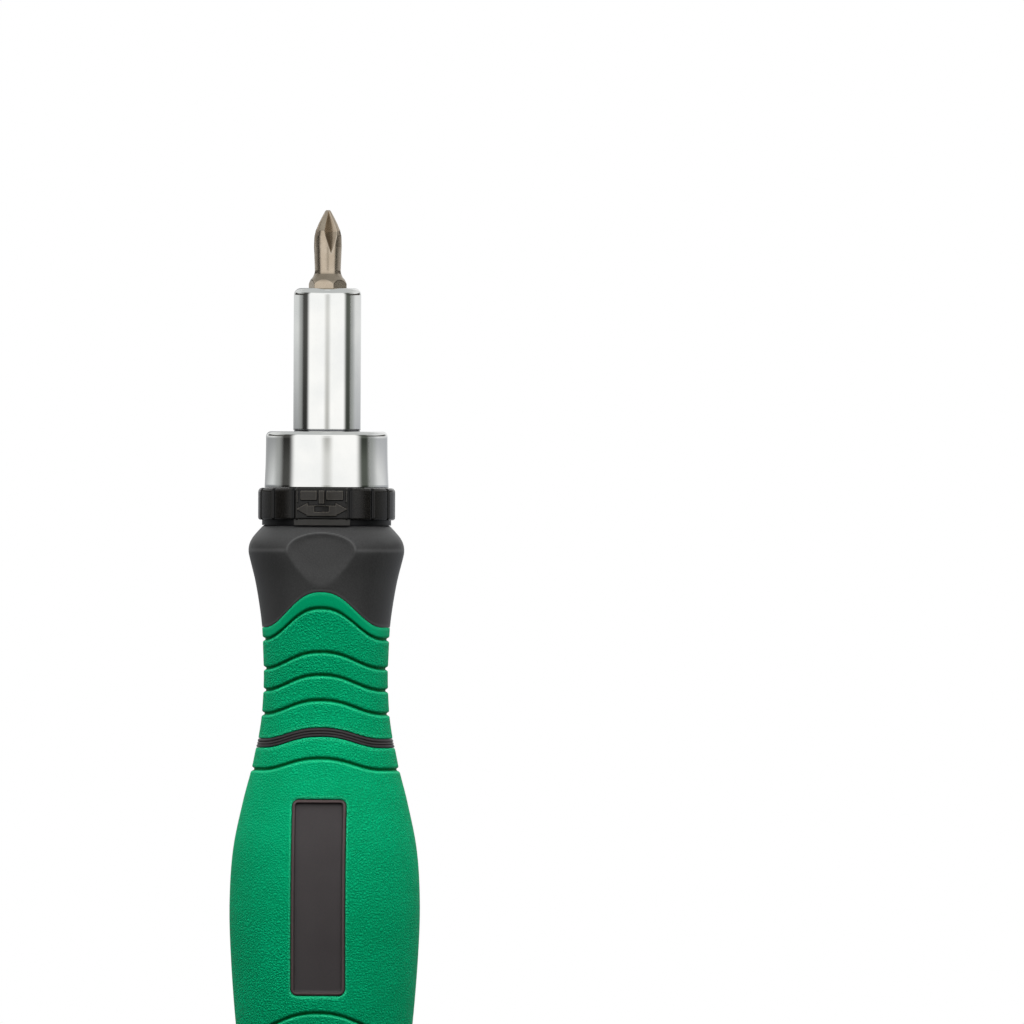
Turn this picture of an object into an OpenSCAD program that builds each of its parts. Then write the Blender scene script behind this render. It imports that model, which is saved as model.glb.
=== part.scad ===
// Ratcheting screwdriver: a handle with a soft grip, a reversing ratchet under a selector ring,
// a chromed barrel that holds a hex bit, and a pull-out bit store in the handle's end.
// Origin: centre of the butt face. +Z runs towards the tip, and the front faces -Y.

/* [Handle] */
// Height of the neck's top face above the butt face
handle_len = 121.1; // [118:0.1:125]
// Radius at the belly, the handle's widest place
belly_r = 17.8; // [17.2:0.1:19]
// Height of the belly, as a share of the handle's length
belly_share = 0.417; // [0.39:0.001:0.44]
// Radius at the waist
waist_r = 11.6; // [11.3:0.1:12.4]
// Height of the waist, as a share of the handle's length
waist_share = 0.7614; // [0.745:0.0001:0.775]
// Radius of the ridge round the neck
ridge_r = 14.56; // [14.2:0.02:15.4]
// Distance of that ridge below the neck's top
ridge_drop = 4.7; // [4.2:0.1:5.6]
// Radius of the neck's top face
neck_top_r = 11.75; // [11.5:0.05:12]
// Distance from the axis to the flats at the front and back of the neck
flat_y = 13.07; // [12.9:0.01:13.6]
// Radius at the butt, before its edge is rounded
butt_r = 13.5; // [13.2:0.1:14.5]
// Rounding of the butt's edge
butt_round = 2.5; // [1:0.1:3]

/* [Grip] */
// Thickness of the soft grip
grip_t = 1.8; // [1.4:0.1:2.2]
// Half width of the waves of the upper grip
wave_w = 11; // [9:0.1:11.5]
// Fullness of the waves' crests
crest_power = 1.2; // [1:0.05:1.4]
// Half width of the wave near the butt
low_wave_w = 14; // [12:0.1:15]
// Distance of the upper grip's side edge below the neck's top
neck_show = 19.1; // [18:0.1:20]
// Rise of that edge to its crest
top_rise = 6.6; // [5:0.1:8]
// Height of the black band's lower edge at the sides, as a share of the handle's length
band_share = 0.6565; // [0.645:0.0001:0.668]
// Width of the black band
band_w = 1.8; // [1.4:0.1:2.4]
// Rise of the band to its crest
band_rise = 2.1; // [1.5:0.1:3]
// Width of a grip groove
groove_w = 0.8; // [0.6:0.05:1.2]
// Depth of a grip groove
groove_d = 0.5; // [0.3:0.05:0.8]
// Height of the lower grip's bottom edge at the sides, as a share of the handle's length
grip_share = 0.1858; // [0.174:0.0001:0.198]
// Rise of the wave near the butt
low_rise = 3.9; // [2.5:0.1:5]
// Distance of the lowest groove above the grip's bottom edge
low_groove_up = 3.8; // [3:0.1:5]
// Distance of the lower grip's first groove below the black band
first_groove_down = 4; // [3:0.1:6]

/* [Label window] */
// Width of the window
window_w = 10.05; // [9:0.05:11]
// Length of the window
window_len = 36.4; // [30:0.1:40]
// Height of the window's middle, as a share of the handle's length
window_share = 0.4269; // [0.415:0.0001:0.439]
// Corner radius of the window
window_corner = 1.1; // [0.5:0.1:2]
// Width of the raised rim round the plate
rim_w = 0.6; // [0.4:0.05:1]
// Depth of the plate below the grip
plate_d = 0.6; // [0.3:0.05:1]

/* [Selector ring] */
// Outer radius of the ring
ring_r = 12.8; // [12.5:0.05:13.2]
// Height of the ring
ring_len = 5.6; // [5.4:0.1:6.4]
// Wall between the ring's bore and its outside
ring_wall = 2.3; // [1.9:0.1:2.5]
// Angle that the plain front and back panels take, each side of centre
panel_half = 25; // [20:1:30]
// Number of grooves on each side of the ring
ring_grooves = 7; // [5:1:9]
// Radius of a ring groove
ring_groove_r = 0.55; // [0.4:0.05:0.7]
// Turn of the ring from centre to either end
selector_turn = 18; // [14:1:20]

/* [Ratchet] */
// Thickness of the seat under the ring
seat_t = 1.1; // [0.9:0.1:1.6]
// Radius of the seat
seat_r = 12.07; // [11.9:0.01:12.4]
// Radius of the housing's spigot in the neck
spigot_r = 9.6; // [9:0.1:9.8]
// Length of that spigot
spigot_len = 11.7; // [10:0.1:13]
// Number of teeth on the gear
gear_teeth = 24; // [20:1:28]
// Radius over the gear's teeth
gear_r = 6; // [5.8:0.05:6.05]
// Depth of a tooth
tooth_d = 0.9; // [0.8:0.05:1]
// Place of a pawl's pin on the way from the gear's teeth to the cam, as a share
pin_share = 0.5707; // [0.55:0.005:0.6]
// Radius of a pawl's pin
pin_r = 0.9; // [0.7:0.05:1]
// Swing of a pawl between free and engaged
pawl_swing = 10; // [8:1:11]
// Thickness of the cover over the gear
cover_t = 1.05; // [0.8:0.05:1.3]
// Wall of the cam ring
cam_wall = 0.8; // [0.6:0.05:0.9]
// Height of the cam's lobe
lobe_h = 0.9; // [0.6:0.05:1]

/* [Spindle] */
// Radius of the spindle
spindle_r = 4; // [3.6:0.1:4.2]
// Thickness of the web between the spindle and the magnet
web_t = 2; // [1:0.1:4]
// Wall of the spindle's bush
bush_wall = 2; // [1.5:0.1:2.4]
// Thickness of the circlip
clip_t = 0.7; // [0.5:0.05:1]
// Thickness of the thrust washer
washer_t = 0.6; // [0.5:0.05:0.8]
// Radius of the thrust washer
washer_r = 7; // [6:0.1:8]

/* [Barrel] */
// Radius of the barrel
barrel_r = 6.3; // [6:0.05:6.8]
// Length of the barrel above its flange
barrel_len = 26.8; // [24:0.1:30]
// Radius of the flange at its top
flange_r = 11.37; // [11:0.01:11.8]
// Growth of the flange's radius towards its foot
flange_flare = 0.23; // [0:0.01:0.4]
// Height of the flange
flange_len = 10.5; // [9:0.1:12]
// Rounding of the barrel's top edge
barrel_round = 1.3; // [0.5:0.1:1.6]
// Rounding of the flange's top edge
flange_round = 0.9; // [0.4:0.1:1.4]

/* [Bits] */
// Distance across the flats of a bit's hex shank
hex_af = 6.35; // [6.3:0.01:6.4]
// Length of a bit
bit_len = 25; // [24:0.1:26]
// Length of the fitted bit that stands out of the barrel
bit_out = 14.6; // [13:0.1:16]
// Radius of the bit's neck
bit_neck_r = 2.43; // [2.2:0.01:2.6]
// Radius over the wings of the cross tip
wing_r = 2.6; // [2.3:0.01:2.8]
// Turn of the bit's hex at rest
bit_turn = -9; // [-30:1:30]
// Turn of the cross tip's flutes on the shank
flute_turn = 28; // [0:1:45]
// Thickness of the magnet under the bit
magnet_t = 3; // [2:0.1:3]
// Radius of that magnet
magnet_r = 2.5; // [2:0.1:2.8]

/* [Bit store] */
// Radius of the store in the handle
store_r = 11.5; // [11.3:0.05:11.7]
// Height of the end cap's outside
cap_len = 6; // [4:0.1:8]
// Length of the cap's plug
plug_len = 5; // [4:0.1:6]
// Distance of a stored bit from the axis
store_pitch_r = 7.5; // [7.4:0.05:7.6]
// Height of the carrier's pockets
pocket_h = 14; // [10:0.5:18]
// Thickness of the carrier's floor
carrier_t = 2; // [1.5:0.1:3]

/* [Hidden] */
$fn = 96;

// Clearances
bond_gap = 0.02;
seam_gap = 0.1;
run_gap = 0.15;
journal_gap = 0.05;
hex_gap = 0.05;
overrun = 2;

// Colours
core_colour = "#3A3A3A";
grip_colour = "#009A62";
rim_colour = "#4A4444";
ring_colour = "#161614";
chrome_colour = "#C9CDD2";
steel_colour = "#8F9296";
brass_colour = "#B08D4A";
bit_colour = "#A89A88";
magnet_colour = "#5C5E62";
rubber_colour = "#101010";
carrier_colour = "#2B2B2B";

// Heights along the handle
belly_z = belly_share * handle_len;
waist_z = waist_share * handle_len;
band_z = band_share * handle_len;
grip_z = grip_share * handle_len;
window_z = window_share * handle_len - window_len / 2;

// Heights of the stack above the neck
seat_z = handle_len;
ring_z = seat_z + seat_t + run_gap;
flange_z = ring_z + ring_len + run_gap;
barrel_z = flange_z + flange_len;
mouth_z = barrel_z + barrel_len;
tip_z = mouth_z + bit_out;
socket_z = tip_z - bit_len;
magnet_z = socket_z - bond_gap - magnet_t;
spindle_up = magnet_z - web_t - flange_z;
ridge_z = handle_len - ridge_drop;
grip_top_z = handle_len - neck_show;

// Shape of the handle's side, as shares of the way between two named places and of their radii
butt_shares = [[0.24, 0.28], [0.55, 0.7], [0.8, 0.93]];
belly_shares = [[0.24, 0.9], [0.46, 0.6], [0.6, 0.355], [0.69, 0.23], [0.76, 0.13], [0.85, 0.05]];
flare_shares = [[0.2, 0.04], [0.41, 0.125], [0.58, 0.3], [0.77, 0.575], [0.955, 0.95]];
shoulder_shares = [[0.25, 0.94], [0.49, 0.75], [0.72, 0.44]];

// Places of the upper grip's grooves, as shares of its height, and their rises as shares of the top's
groove_place_shares = [0.106, 0.37, 0.567, 0.779];
groove_rise_shares = [0.88, 0.47, 0.44, 0.39];

// Sampling of curves
profile_step = belly_r / 10;
wave_steps = 16;
arc_steps = 6;

// Part of a side's profile between two named places
function side_knots(shares, z0, z1, r0, r1) = [for (s = shares) [z0 + (z1 - z0) * s[0], r0 + (r1 - r0) * s[1]]];
handle_knots = concat(
    [[0, butt_r]], side_knots(butt_shares, 0, belly_z, butt_r, belly_r),
    [[belly_z, belly_r]], side_knots(belly_shares, belly_z, waist_z, waist_r, belly_r),
    [[waist_z, waist_r]], side_knots(flare_shares, waist_z, ridge_z, waist_r, ridge_r),
    [[ridge_z, ridge_r]], side_knots(shoulder_shares, ridge_z, handle_len, neck_top_r, ridge_r),
    [[handle_len, neck_top_r]]);

// A smooth curve through knots: a cubic between each two, its slopes those of the neighbours' chord
function knot_slope(t, i) =
    let (a = t[max(i - 1, 0)], b = t[min(i + 1, len(t) - 1)]) (b.y - a.y) / (b.x - a.x);
function knot_index(t, x, i = 0) = i >= len(t) - 2 || x < t[i + 1].x ? i : knot_index(t, x, i + 1);
function smooth_at(t, x) =
    let (i = knot_index(t, x), a = t[i], b = t[i + 1], h = b.x - a.x, u = (x - a.x) / h, v = 1 - u)
    a.y * v * v * (1 + 2 * u) + b.y * u * u * (1 + 2 * v)
    + h * u * v * (knot_slope(t, i) * v - knot_slope(t, i + 1) * u);
function handle_r(z) = smooth_at(handle_knots, z);
function polar(r, a) = [r * cos(a), r * sin(a)];
function reversed(list) = [for (i = [len(list) - 1 : -1 : 0]) list[i]];

// Points of an arc about a centre
function arc(x, y, r, from, to) =
    [for (i = [0 : arc_steps]) [x, y] + polar(r, from + (to - from) * i / arc_steps)];

// The handle's turned form between two heights, drawn in by an inset
module turned(z0, z1, inset) {
    between = [for (i = [floor(z0 / profile_step) + 1 : ceil(z1 / profile_step) - 1]) i * profile_step];
    side = [for (z = concat([z0], between, [z1])) [handle_r(z) - inset, z]];
    rotate_extrude() polygon(concat([[0, z0]], side, [[0, z1]]));
}

// A wave is [height at the sides, rise to the crest, half width]; it is cut straight through along Y
wave_x = belly_r + overrun;
function wave_line(wave) = concat([[-wave_x, wave[0]]],
    [for (i = [0 : wave_steps]) let (s = 2 * i / wave_steps - 1)
        [wave[2] * s, wave[0] + wave[1] * (1 + cos(180 * pow(abs(s), crest_power))) / 2]],
    [[wave_x, wave[0]]]);
function shifted(wave, dz) = [wave[0] + dz, wave[1], wave[2]];
function level(z) = [z, 0, wave_w];
module between_waves(low, high) {
    rotate([90, 0, 0]) linear_extrude(2 * wave_x, center = true)
        polygon(concat(wave_line(low), reversed(wave_line(high))));
}
module wave_groove(wave) {
    difference() {
        between_waves(shifted(wave, -groove_w / 2), shifted(wave, groove_w / 2));
        turned(wave[0] - overrun, wave[0] + wave[1] + overrun, groove_d);
    }
}

top_wave = [grip_top_z, top_rise, wave_w];
band_low_wave = [band_z, band_rise, wave_w];
band_high_wave = shifted(band_low_wave, band_w);
bottom_wave = [grip_z, low_rise, low_wave_w];
low_groove_wave = shifted(bottom_wave, low_groove_up);
upper_grip_h = grip_top_z - band_z - band_w;
upper_grooves = [for (i = [0 : len(groove_place_shares) - 1])
    [grip_top_z - upper_grip_h * groove_place_shares[i], top_rise * groove_rise_shares[i], wave_w]];
first_low_groove = shifted(band_low_wave, -first_groove_down);

// Label window: a rounded rectangle seen from the front
function window_path(w, h, r) = [for (c = [[1, 1, 0], [-1, 1, 90], [-1, -1, 180], [1, -1, 270]])
    each arc(c[0] * (w / 2 - r), c[1] * (h / 2 - r), r, c[2], c[2] + 90)];
module window_prism(side, grow) {
    rotate([0, 0, side]) translate([0, 0, window_z + window_len / 2]) rotate([90, 0, 0])
        linear_extrude(wave_x)
            polygon(window_path(window_w + 2 * grow, window_len + 2 * grow, window_corner + grow));
}

module handle_core() {
    color(core_colour) difference() {
        union() {
            turned(cap_len + run_gap, grip_top_z + top_rise, grip_t + bond_gap);
            intersection() {
                turned(cap_len + run_gap, handle_len, 0);
                union() {
                    between_waves(shifted(top_wave, seam_gap), level(handle_len + overrun));
                    between_waves(shifted(band_low_wave, seam_gap), shifted(band_high_wave, -seam_gap));
                    between_waves(level(0), shifted(bottom_wave, -seam_gap));
                }
            }
        }
        for (side = [0, 180])
            rotate([0, 0, side]) translate([-wave_x, -flat_y - wave_x, waist_z])
                cube([2 * wave_x, wave_x, handle_len]);
        cylinder(r = store_r, h = store_top_z);
        translate([0, 0, seat_z - spigot_len]) cylinder(r = spigot_r + bond_gap, h = spigot_len + overrun);
        translate([0, 0, clip_room_z]) cylinder(r = clip_room_r, h = spigot_len);
    }
}

module grip_upper() {
    color(grip_colour) difference() {
        intersection() {
            difference() {
                turned(band_z, grip_top_z + top_rise + overrun, 0);
                turned(band_z - overrun, grip_top_z + top_rise + 2 * overrun, grip_t);
            }
            between_waves(band_high_wave, top_wave);
        }
        for (wave = upper_grooves) wave_groove(wave);
    }
}

module grip_lower() {
    color(grip_colour) difference() {
        intersection() {
            difference() {
                turned(grip_z - overrun, band_z + band_rise + overrun, 0);
                turned(grip_z - 2 * overrun, band_z + band_rise + 2 * overrun, grip_t);
            }
            between_waves(bottom_wave, band_low_wave);
        }
        wave_groove(first_low_groove);
        wave_groove(low_groove_wave);
        for (side = [0, 180]) window_prism(side, seam_gap);
    }
}

module label_plate(side) {
    color(rim_colour) difference() {
        intersection() {
            difference() {
                turned(window_z - overrun, window_z + window_len + overrun, seam_gap);
                turned(window_z - 2 * overrun, window_z + window_len + 2 * overrun, grip_t);
            }
            window_prism(side, 0);
        }
        difference() {
            window_prism(side, -rim_w);
            turned(window_z - overrun, window_z + window_len + overrun, plate_d);
        }
    }
}
module label_plate_front() { label_plate(0); }
module label_plate_back() { label_plate(180); }

// Ratchet. The selector's lobe faces the front, and the gear's gaps lie at whole pitches from there.
lobe_angle = -90;
tooth_pitch = 360 / gear_teeth;
tail_lead = 22;
pin_angle = selector_turn + tail_lead;
pawl_reach = 75;
tip_angle = tooth_pitch * round(pawl_reach / tooth_pitch);
post_angle = 120;
post_r = 1.35;
eye_wall = 0.55;
ring_bore_r = ring_r - ring_wall;
journal_r = ring_bore_r - journal_gap;
journal_h = 0.7;
floor_z = seat_z + seat_t;
cover_z = flange_z - run_gap - cover_t;
cam_z = floor_z + journal_h + seam_gap;
cam_bore_r = ring_bore_r - bond_gap - cam_wall;
pawl_r = gear_r + (cam_bore_r - gear_r) * pin_share;
bush_z = seat_z - spigot_len;
clip_z = bush_z - seam_gap - clip_t;
clip_room_r = spindle_r + bush_wall + 0.25 * bush_wall;
clip_room = 2;
clip_room_z = clip_z - clip_t - clip_room;
pin_depth = 3;
tab_proud = 0.35;

module ratchet_housing() {
    color(steel_colour) difference() {
        union() {
            translate([0, 0, bush_z]) cylinder(r = spigot_r, h = spigot_len);
            translate([0, 0, seat_z]) cylinder(r = seat_r, h = seat_t);
            rotate([0, 0, lobe_angle - panel_half]) rotate_extrude(angle = 2 * panel_half)
                translate([spigot_r, seat_z]) square([seat_r + tab_proud - spigot_r, seat_t]);
            rotate_extrude() translate([cam_bore_r, floor_z])
                square([journal_r - cam_bore_r, journal_h]);
            for (side = [-1, 1])
                rotate([0, 0, lobe_angle + side * post_angle]) translate([pawl_r, 0, seat_z])
                    cylinder(r = post_r, h = cover_z - seat_z);
        }
        translate([0, 0, bush_z - overrun])
            cylinder(r = spindle_r + bush_wall + bond_gap, h = spigot_len + seat_t + 2 * overrun);
        for (side = [-1, 1])
            rotate([0, 0, lobe_angle + side * pin_angle]) translate([pawl_r, 0, floor_z - pin_depth])
                cylinder(r = pin_r + bond_gap, h = pin_depth + overrun);
        spring_leaf(bond_gap);
        mirror([1, 0, 0]) spring_leaf(bond_gap);
    }
}

module ratchet_cover() {
    color(steel_colour) translate([0, 0, cover_z]) difference() {
        cylinder(r = journal_r, h = cover_t);
        translate([0, 0, -overrun]) cylinder(r = spindle_r + run_gap, h = cover_t + 2 * overrun);
        for (side = [-1, 1])
            rotate([0, 0, lobe_angle + side * pin_angle]) translate([pawl_r, 0, -overrun])
                cylinder(r = pin_r + bond_gap, h = cover_t + 2 * overrun);
    }
}

module spindle_bush() {
    color(brass_colour) translate([0, 0, bush_z]) difference() {
        cylinder(r = spindle_r + bush_wall, h = spigot_len + seat_t);
        translate([0, 0, -overrun])
            cylinder(r = spindle_r + journal_gap, h = spigot_len + seat_t + 2 * overrun);
    }
}

module pawl_pins() {
    color(steel_colour) for (side = [-1, 1])
        rotate([0, 0, lobe_angle + side * pin_angle]) translate([pawl_r, 0, floor_z - pin_depth])
            cylinder(r = pin_r, h = cover_z + cover_t - floor_z + pin_depth);
}

// Leaf springs: each is held in its post and reaches behind its pawl's tip, drawn pressed back
leaf_t = 0.25;
leaf_reach = 48;
leaf_tail = 12;
module spring_leaf(grow) {
    rotate([0, 0, lobe_angle + post_angle - leaf_reach]) rotate_extrude(angle = leaf_reach + leaf_tail)
        translate([cam_bore_r - 2 * leaf_t - grow, cam_z - grow])
            square([leaf_t + 2 * grow, cover_z - seam_gap - cam_z + 2 * grow]);
}
module pawl_springs() {
    color(steel_colour) {
        spring_leaf(0);
        mirror([1, 0, 0]) spring_leaf(0);
    }
}

module ratchet_gear() {
    gear_z = floor_z + run_gap;
    root_r = gear_r - tooth_d;
    color(steel_colour) translate([0, 0, gear_z]) rotate([0, 0, lobe_angle])
        linear_extrude(cover_z - run_gap - gear_z) difference() {
            polygon([for (i = [0 : gear_teeth - 1], p = tooth_shares)
                polar(root_r + tooth_d * p[1], tooth_pitch * (i + p[0]))]);
            circle(r = spindle_r + bond_gap);
        }
}
// One tooth between two gaps, as shares of the pitch and of its depth
tooth_shares = [[0.08, 0], [0.42, 1], [0.58, 1], [0.92, 0]];

// A pawl, drawn engaged about its pin and then swung free. Its points are [radius, angle from the pin].
pawl_z = floor_z + run_gap;
pawl_h = cover_z - run_gap - pawl_z;
eye_r = pin_r + eye_wall;
tip_r = gear_r - 0.6 * tooth_d;
arm_in_r = gear_r + 0.4 * tooth_d;
arm_out_r = gear_r + 1.3 * tooth_d;
tail_out_r = pawl_r + 0.7 * eye_r;
tail_in_r = pawl_r - 0.1 * eye_r;
function pawl_points() = [
    polar(pawl_r - 0.95 * eye_r, 2), polar(arm_in_r + 0.1 * tooth_d, 18), polar(arm_in_r, 30),
    polar(tip_r, tip_angle - pin_angle), polar(arm_in_r + 0.5 * tooth_d, 41),
    polar(arm_out_r, 40), polar(arm_out_r + 0.6 * tooth_d, 24),
    polar(pawl_r + 0.95 * eye_r, 3), polar(tail_out_r, -13), polar(tail_out_r - 0.3 * eye_r, -20),
    polar(tail_in_r, -19)];
module pawl() {
    rotate([0, 0, lobe_angle + pin_angle]) translate([pawl_r, 0, pawl_z])
        rotate([0, 0, -pawl_swing]) difference() {
            union() {
                translate([-pawl_r, 0, 0]) linear_extrude(pawl_h) polygon(pawl_points());
                cylinder(r = eye_r, h = pawl_h);
            }
            translate([0, 0, -overrun]) cylinder(r = pin_r + journal_gap, h = pawl_h + 2 * overrun);
        }
}
module pawl_right() { color(steel_colour) pawl(); }
module pawl_left() { color(steel_colour) mirror([1, 0, 0]) pawl(); }

module ring_body() {
    chamfer = ring_wall / 5;
    difference() {
        rotate_extrude() polygon([
            [ring_bore_r, ring_z], [ring_r - chamfer, ring_z], [ring_r, ring_z + chamfer],
            [ring_r, ring_z + ring_len - chamfer], [ring_r - chamfer, ring_z + ring_len],
            [ring_bore_r, ring_z + ring_len]]);
        groove_pitch = (180 - 2 * panel_half) / (ring_grooves - 1);
        for (side = [0, 180], i = [0 : ring_grooves - 1])
            rotate([0, 0, side + lobe_angle + panel_half + groove_pitch * i])
                translate([ring_r + ring_groove_r / 3, 0, ring_z - overrun])
                    cylinder(r = ring_groove_r, h = ring_len + 2 * overrun, $fn = 24);
    }
}
module selector_ring() { color(ring_colour) ring_body(); }

module selector_cam() {
    lobe_half = 7;
    color(steel_colour) translate([0, 0, cam_z]) {
        rotate_extrude() translate([cam_bore_r, 0])
            square([cam_wall, cover_z - seam_gap - cam_z]);
        rotate([0, 0, lobe_angle - lobe_half]) rotate_extrude(angle = 2 * lobe_half)
            translate([cam_bore_r - lobe_h, 0])
                square([lobe_h + cam_wall / 2, cover_z - seam_gap - cam_z]);
    }
}

// Spindle, with its groove for the circlip
clip_groove_d = spindle_r / 10;
module spindle() {
    foot_z = clip_z - clip_t;
    color(steel_colour) difference() {
        translate([0, 0, foot_z]) cylinder(r = spindle_r, h = flange_z + spindle_up - foot_z);
        translate([0, 0, clip_z - bond_gap]) difference() {
            cylinder(r = spindle_r + overrun, h = clip_t + 2 * bond_gap);
            translate([0, 0, -overrun])
                cylinder(r = spindle_r - clip_groove_d, h = clip_t + 2 * overrun);
        }
    }
}
module circlip() {
    clip_open = 60;
    clip_w = bush_wall * 0.75;
    color(steel_colour) translate([0, 0, clip_z]) rotate([0, 0, clip_open / 2])
        rotate_extrude(angle = 360 - clip_open)
            translate([spindle_r - clip_groove_d + bond_gap, 0]) square([clip_w, clip_t]);
}
module thrust_washer() {
    color(steel_colour) translate([0, 0, flange_z - run_gap + journal_gap]) difference() {
        cylinder(r = washer_r, h = washer_t);
        translate([0, 0, -overrun]) cylinder(r = spindle_r + bond_gap, h = washer_t + 2 * overrun);
    }
}

// Barrel with its flange, turned in one piece
mouth_chamfer = 0.5;
socket_r = (hex_af / 2 + hex_gap) / cos(30);
module barrel() {
    foot_r = flange_r + flange_flare;
    foot_chamfer = flange_round / 3;
    outline = concat(
        [[0, flange_z], [foot_r - foot_chamfer, flange_z], [foot_r, flange_z + foot_chamfer]],
        arc(flange_r - flange_round, barrel_z - flange_round, flange_round, 0, 90),
        arc(barrel_r + flange_round / 2, barrel_z + flange_round / 2, flange_round / 2, 270, 180),
        arc(barrel_r - barrel_round, mouth_z - barrel_round, barrel_round, 0, 90),
        [[0, mouth_z]]);
    color(chrome_colour) difference() {
        rotate_extrude() polygon(outline);
        translate([0, 0, flange_z - overrun]) cylinder(r = spindle_r + bond_gap, h = spindle_up + overrun);
        translate([0, 0, flange_z - overrun])
            cylinder(r = washer_r + journal_gap, h = washer_t + journal_gap - run_gap + overrun);
        translate([0, 0, magnet_z])
            cylinder(r = magnet_r + bond_gap, h = magnet_t + overrun);
        rotate([0, 0, bit_turn]) translate([0, 0, socket_z - bond_gap])
            cylinder(r = socket_r, h = bit_len, $fn = 6);
        translate([0, 0, mouth_z - mouth_chamfer])
            cylinder(r1 = socket_r - mouth_chamfer, r2 = socket_r + mouth_chamfer, h = 2 * mouth_chamfer);
    }
}
module bit_magnet() {
    color(magnet_colour) translate([0, 0, magnet_z]) cylinder(r = magnet_r, h = magnet_t);
}

// Bits. A bit's side is [share of its length above the shank's shoulder, share of a radius].
shank_r = hex_af / 2 / cos(30);
shank_chamfer = 0.5;
shoulder_drop = bit_out * 0.945;
neck_side_shares = [[0.06, 1.31], [0.094, 1.14], [0.138, 1.035], [0.18, 1], [0.28, 1.02]];
cross_side_shares = [[0.5, 1], [0.65, 0.99], [0.72, 0.92], [0.81, 0.71], [0.9, 0.46], [0.985, 0.21], [1, 0.14]];
function bit_side(side_shares, side_r) =
    [for (s = side_shares) [side_r * s[1], bit_len + shoulder_drop * (s[0] - 1)]];
module bit_blank(side_shares, side_r) {
    intersection() {
        cylinder(r = shank_r, h = bit_len, $fn = 6);
        rotate_extrude() polygon(concat(
            [[0, 0], [shank_r - shank_chamfer, 0], [shank_r, shank_chamfer], [shank_r, bit_len - shoulder_drop]],
            bit_side(neck_side_shares, bit_neck_r), bit_side(side_shares, side_r), [[0, bit_len]]));
    }
}

// A flute is a right-angled notch whose bottom runs between places given as [height share, radius share]
flute_shares = [[0.39, 1.02], [0.71, 0.33], [1.1, 0.1]];
module flute(side_r) {
    for (i = [0, 1]) {
        low = [side_r * flute_shares[i][1], bit_len + shoulder_drop * (flute_shares[i][0] - 1)];
        high = [side_r * flute_shares[i + 1][1], bit_len + shoulder_drop * (flute_shares[i + 1][0] - 1)];
        run = high - low;
        translate([low.x, 0, low.y]) rotate([0, atan2(run.x, run.y), 0])
            linear_extrude(norm(run)) rotate(-45) square(2 * side_r);
    }
}
module cross_bit(side_r) {
    difference() {
        bit_blank(cross_side_shares, side_r);
        for (a = [0 : 90 : 270]) rotate([0, 0, lobe_angle + flute_turn + a]) flute(side_r);
    }
}
module screwdriver_bit() {
    color(bit_colour) rotate([0, 0, bit_turn]) translate([0, 0, socket_z]) cross_bit(wing_r);
}

// Bit store: five bits stand round the carrier, which is seated on the end cap's spigot
store_slots = 5;
function slot_turn(slot) = 360 / store_slots * (slot + 0.5);
carrier_z = cap_len + plug_len;
stored_z = carrier_z + carrier_t;
store_head = 2;
store_top_z = stored_z + bit_len + store_head;
spigot_cap_r = 2;
oring_r = 0.55;
oring_z = cap_len + plug_len / 2;
plug_r = store_r - seam_gap;
module end_cap() {
    side = [for (i = [0 : arc_steps]) let (z = butt_round + (cap_len - butt_round) * i / arc_steps) [handle_r(z), z]];
    color(core_colour) difference() {
        union() {
            rotate_extrude() polygon(concat([[0, 0]],
                arc(handle_r(butt_round) - butt_round, butt_round, butt_round, -90, 0), side, [[0, cap_len]]));
            cylinder(r = plug_r, h = carrier_z);
            cylinder(r = spigot_cap_r, h = stored_z + pocket_h / 2);
        }
        rotate_extrude() translate([plug_r - 2 * oring_r, oring_z - oring_r - seam_gap])
            square([2 * oring_r + overrun, 2 * (oring_r + seam_gap)]);
    }
}
module cap_oring() {
    color(rubber_colour) rotate_extrude()
        translate([plug_r - oring_r + journal_gap, oring_z]) circle(r = oring_r, $fn = 32);
}
module bit_carrier() {
    carrier_r = store_pitch_r + shank_r / 3;
    floor_step = carrier_t / 4;
    color(carrier_colour) difference() {
        translate([0, 0, carrier_z]) union() {
            cylinder(r = plug_r, h = carrier_t - floor_step);
            cylinder(r = carrier_r, h = carrier_t + pocket_h);
        }
        for (i = [0 : store_slots - 1])
            rotate([0, 0, slot_turn(i)]) translate([store_pitch_r, 0, stored_z])
                cylinder(r = shank_r + journal_gap, h = pocket_h + overrun);
        translate([0, 0, carrier_z - overrun])
            cylinder(r = spigot_cap_r + bond_gap, h = pocket_h / 2 + carrier_t + overrun + bond_gap);
    }
}
module stored(slot) {
    color(bit_colour) rotate([0, 0, slot_turn(slot)])
        translate([store_pitch_r, 0, stored_z]) children();
}

// Straight-sided drivers: a round neck, then the driving end of a given outline
neck_end_share = 0.7;
driver_side_shares = [[0.68, 1], [0.7, 0.86], [1, 0.86]];
module driver_bit() {
    tip_h = shoulder_drop * (1 - neck_end_share);
    intersection() {
        bit_blank(driver_side_shares, bit_neck_r);
        union() {
            cylinder(r = shank_r, h = bit_len - tip_h);
            linear_extrude(bit_len) children();
        }
    }
}
blade_t = 1;
hex_driver_r = 2.05;
square_driver_r = 1.9;
star_core_r = 1.3;
star_lobe_r = 0.42;
small_wing_r = 2.45;
module spare_bit_cross() { stored(0) cross_bit(small_wing_r); }
module spare_bit_slot() { stored(1) driver_bit() square([2 * wing_r, blade_t], center = true); }
module spare_bit_hex() { stored(2) driver_bit() circle(r = hex_driver_r, $fn = 6); }
module spare_bit_star() {
    stored(3) driver_bit() {
        circle(r = star_core_r);
        for (a = [0 : 60 : 300]) rotate(a) translate([star_core_r, 0]) circle(r = star_lobe_r);
    }
}
module spare_bit_square() { stored(4) driver_bit() circle(r = square_driver_r, $fn = 4); }

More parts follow.
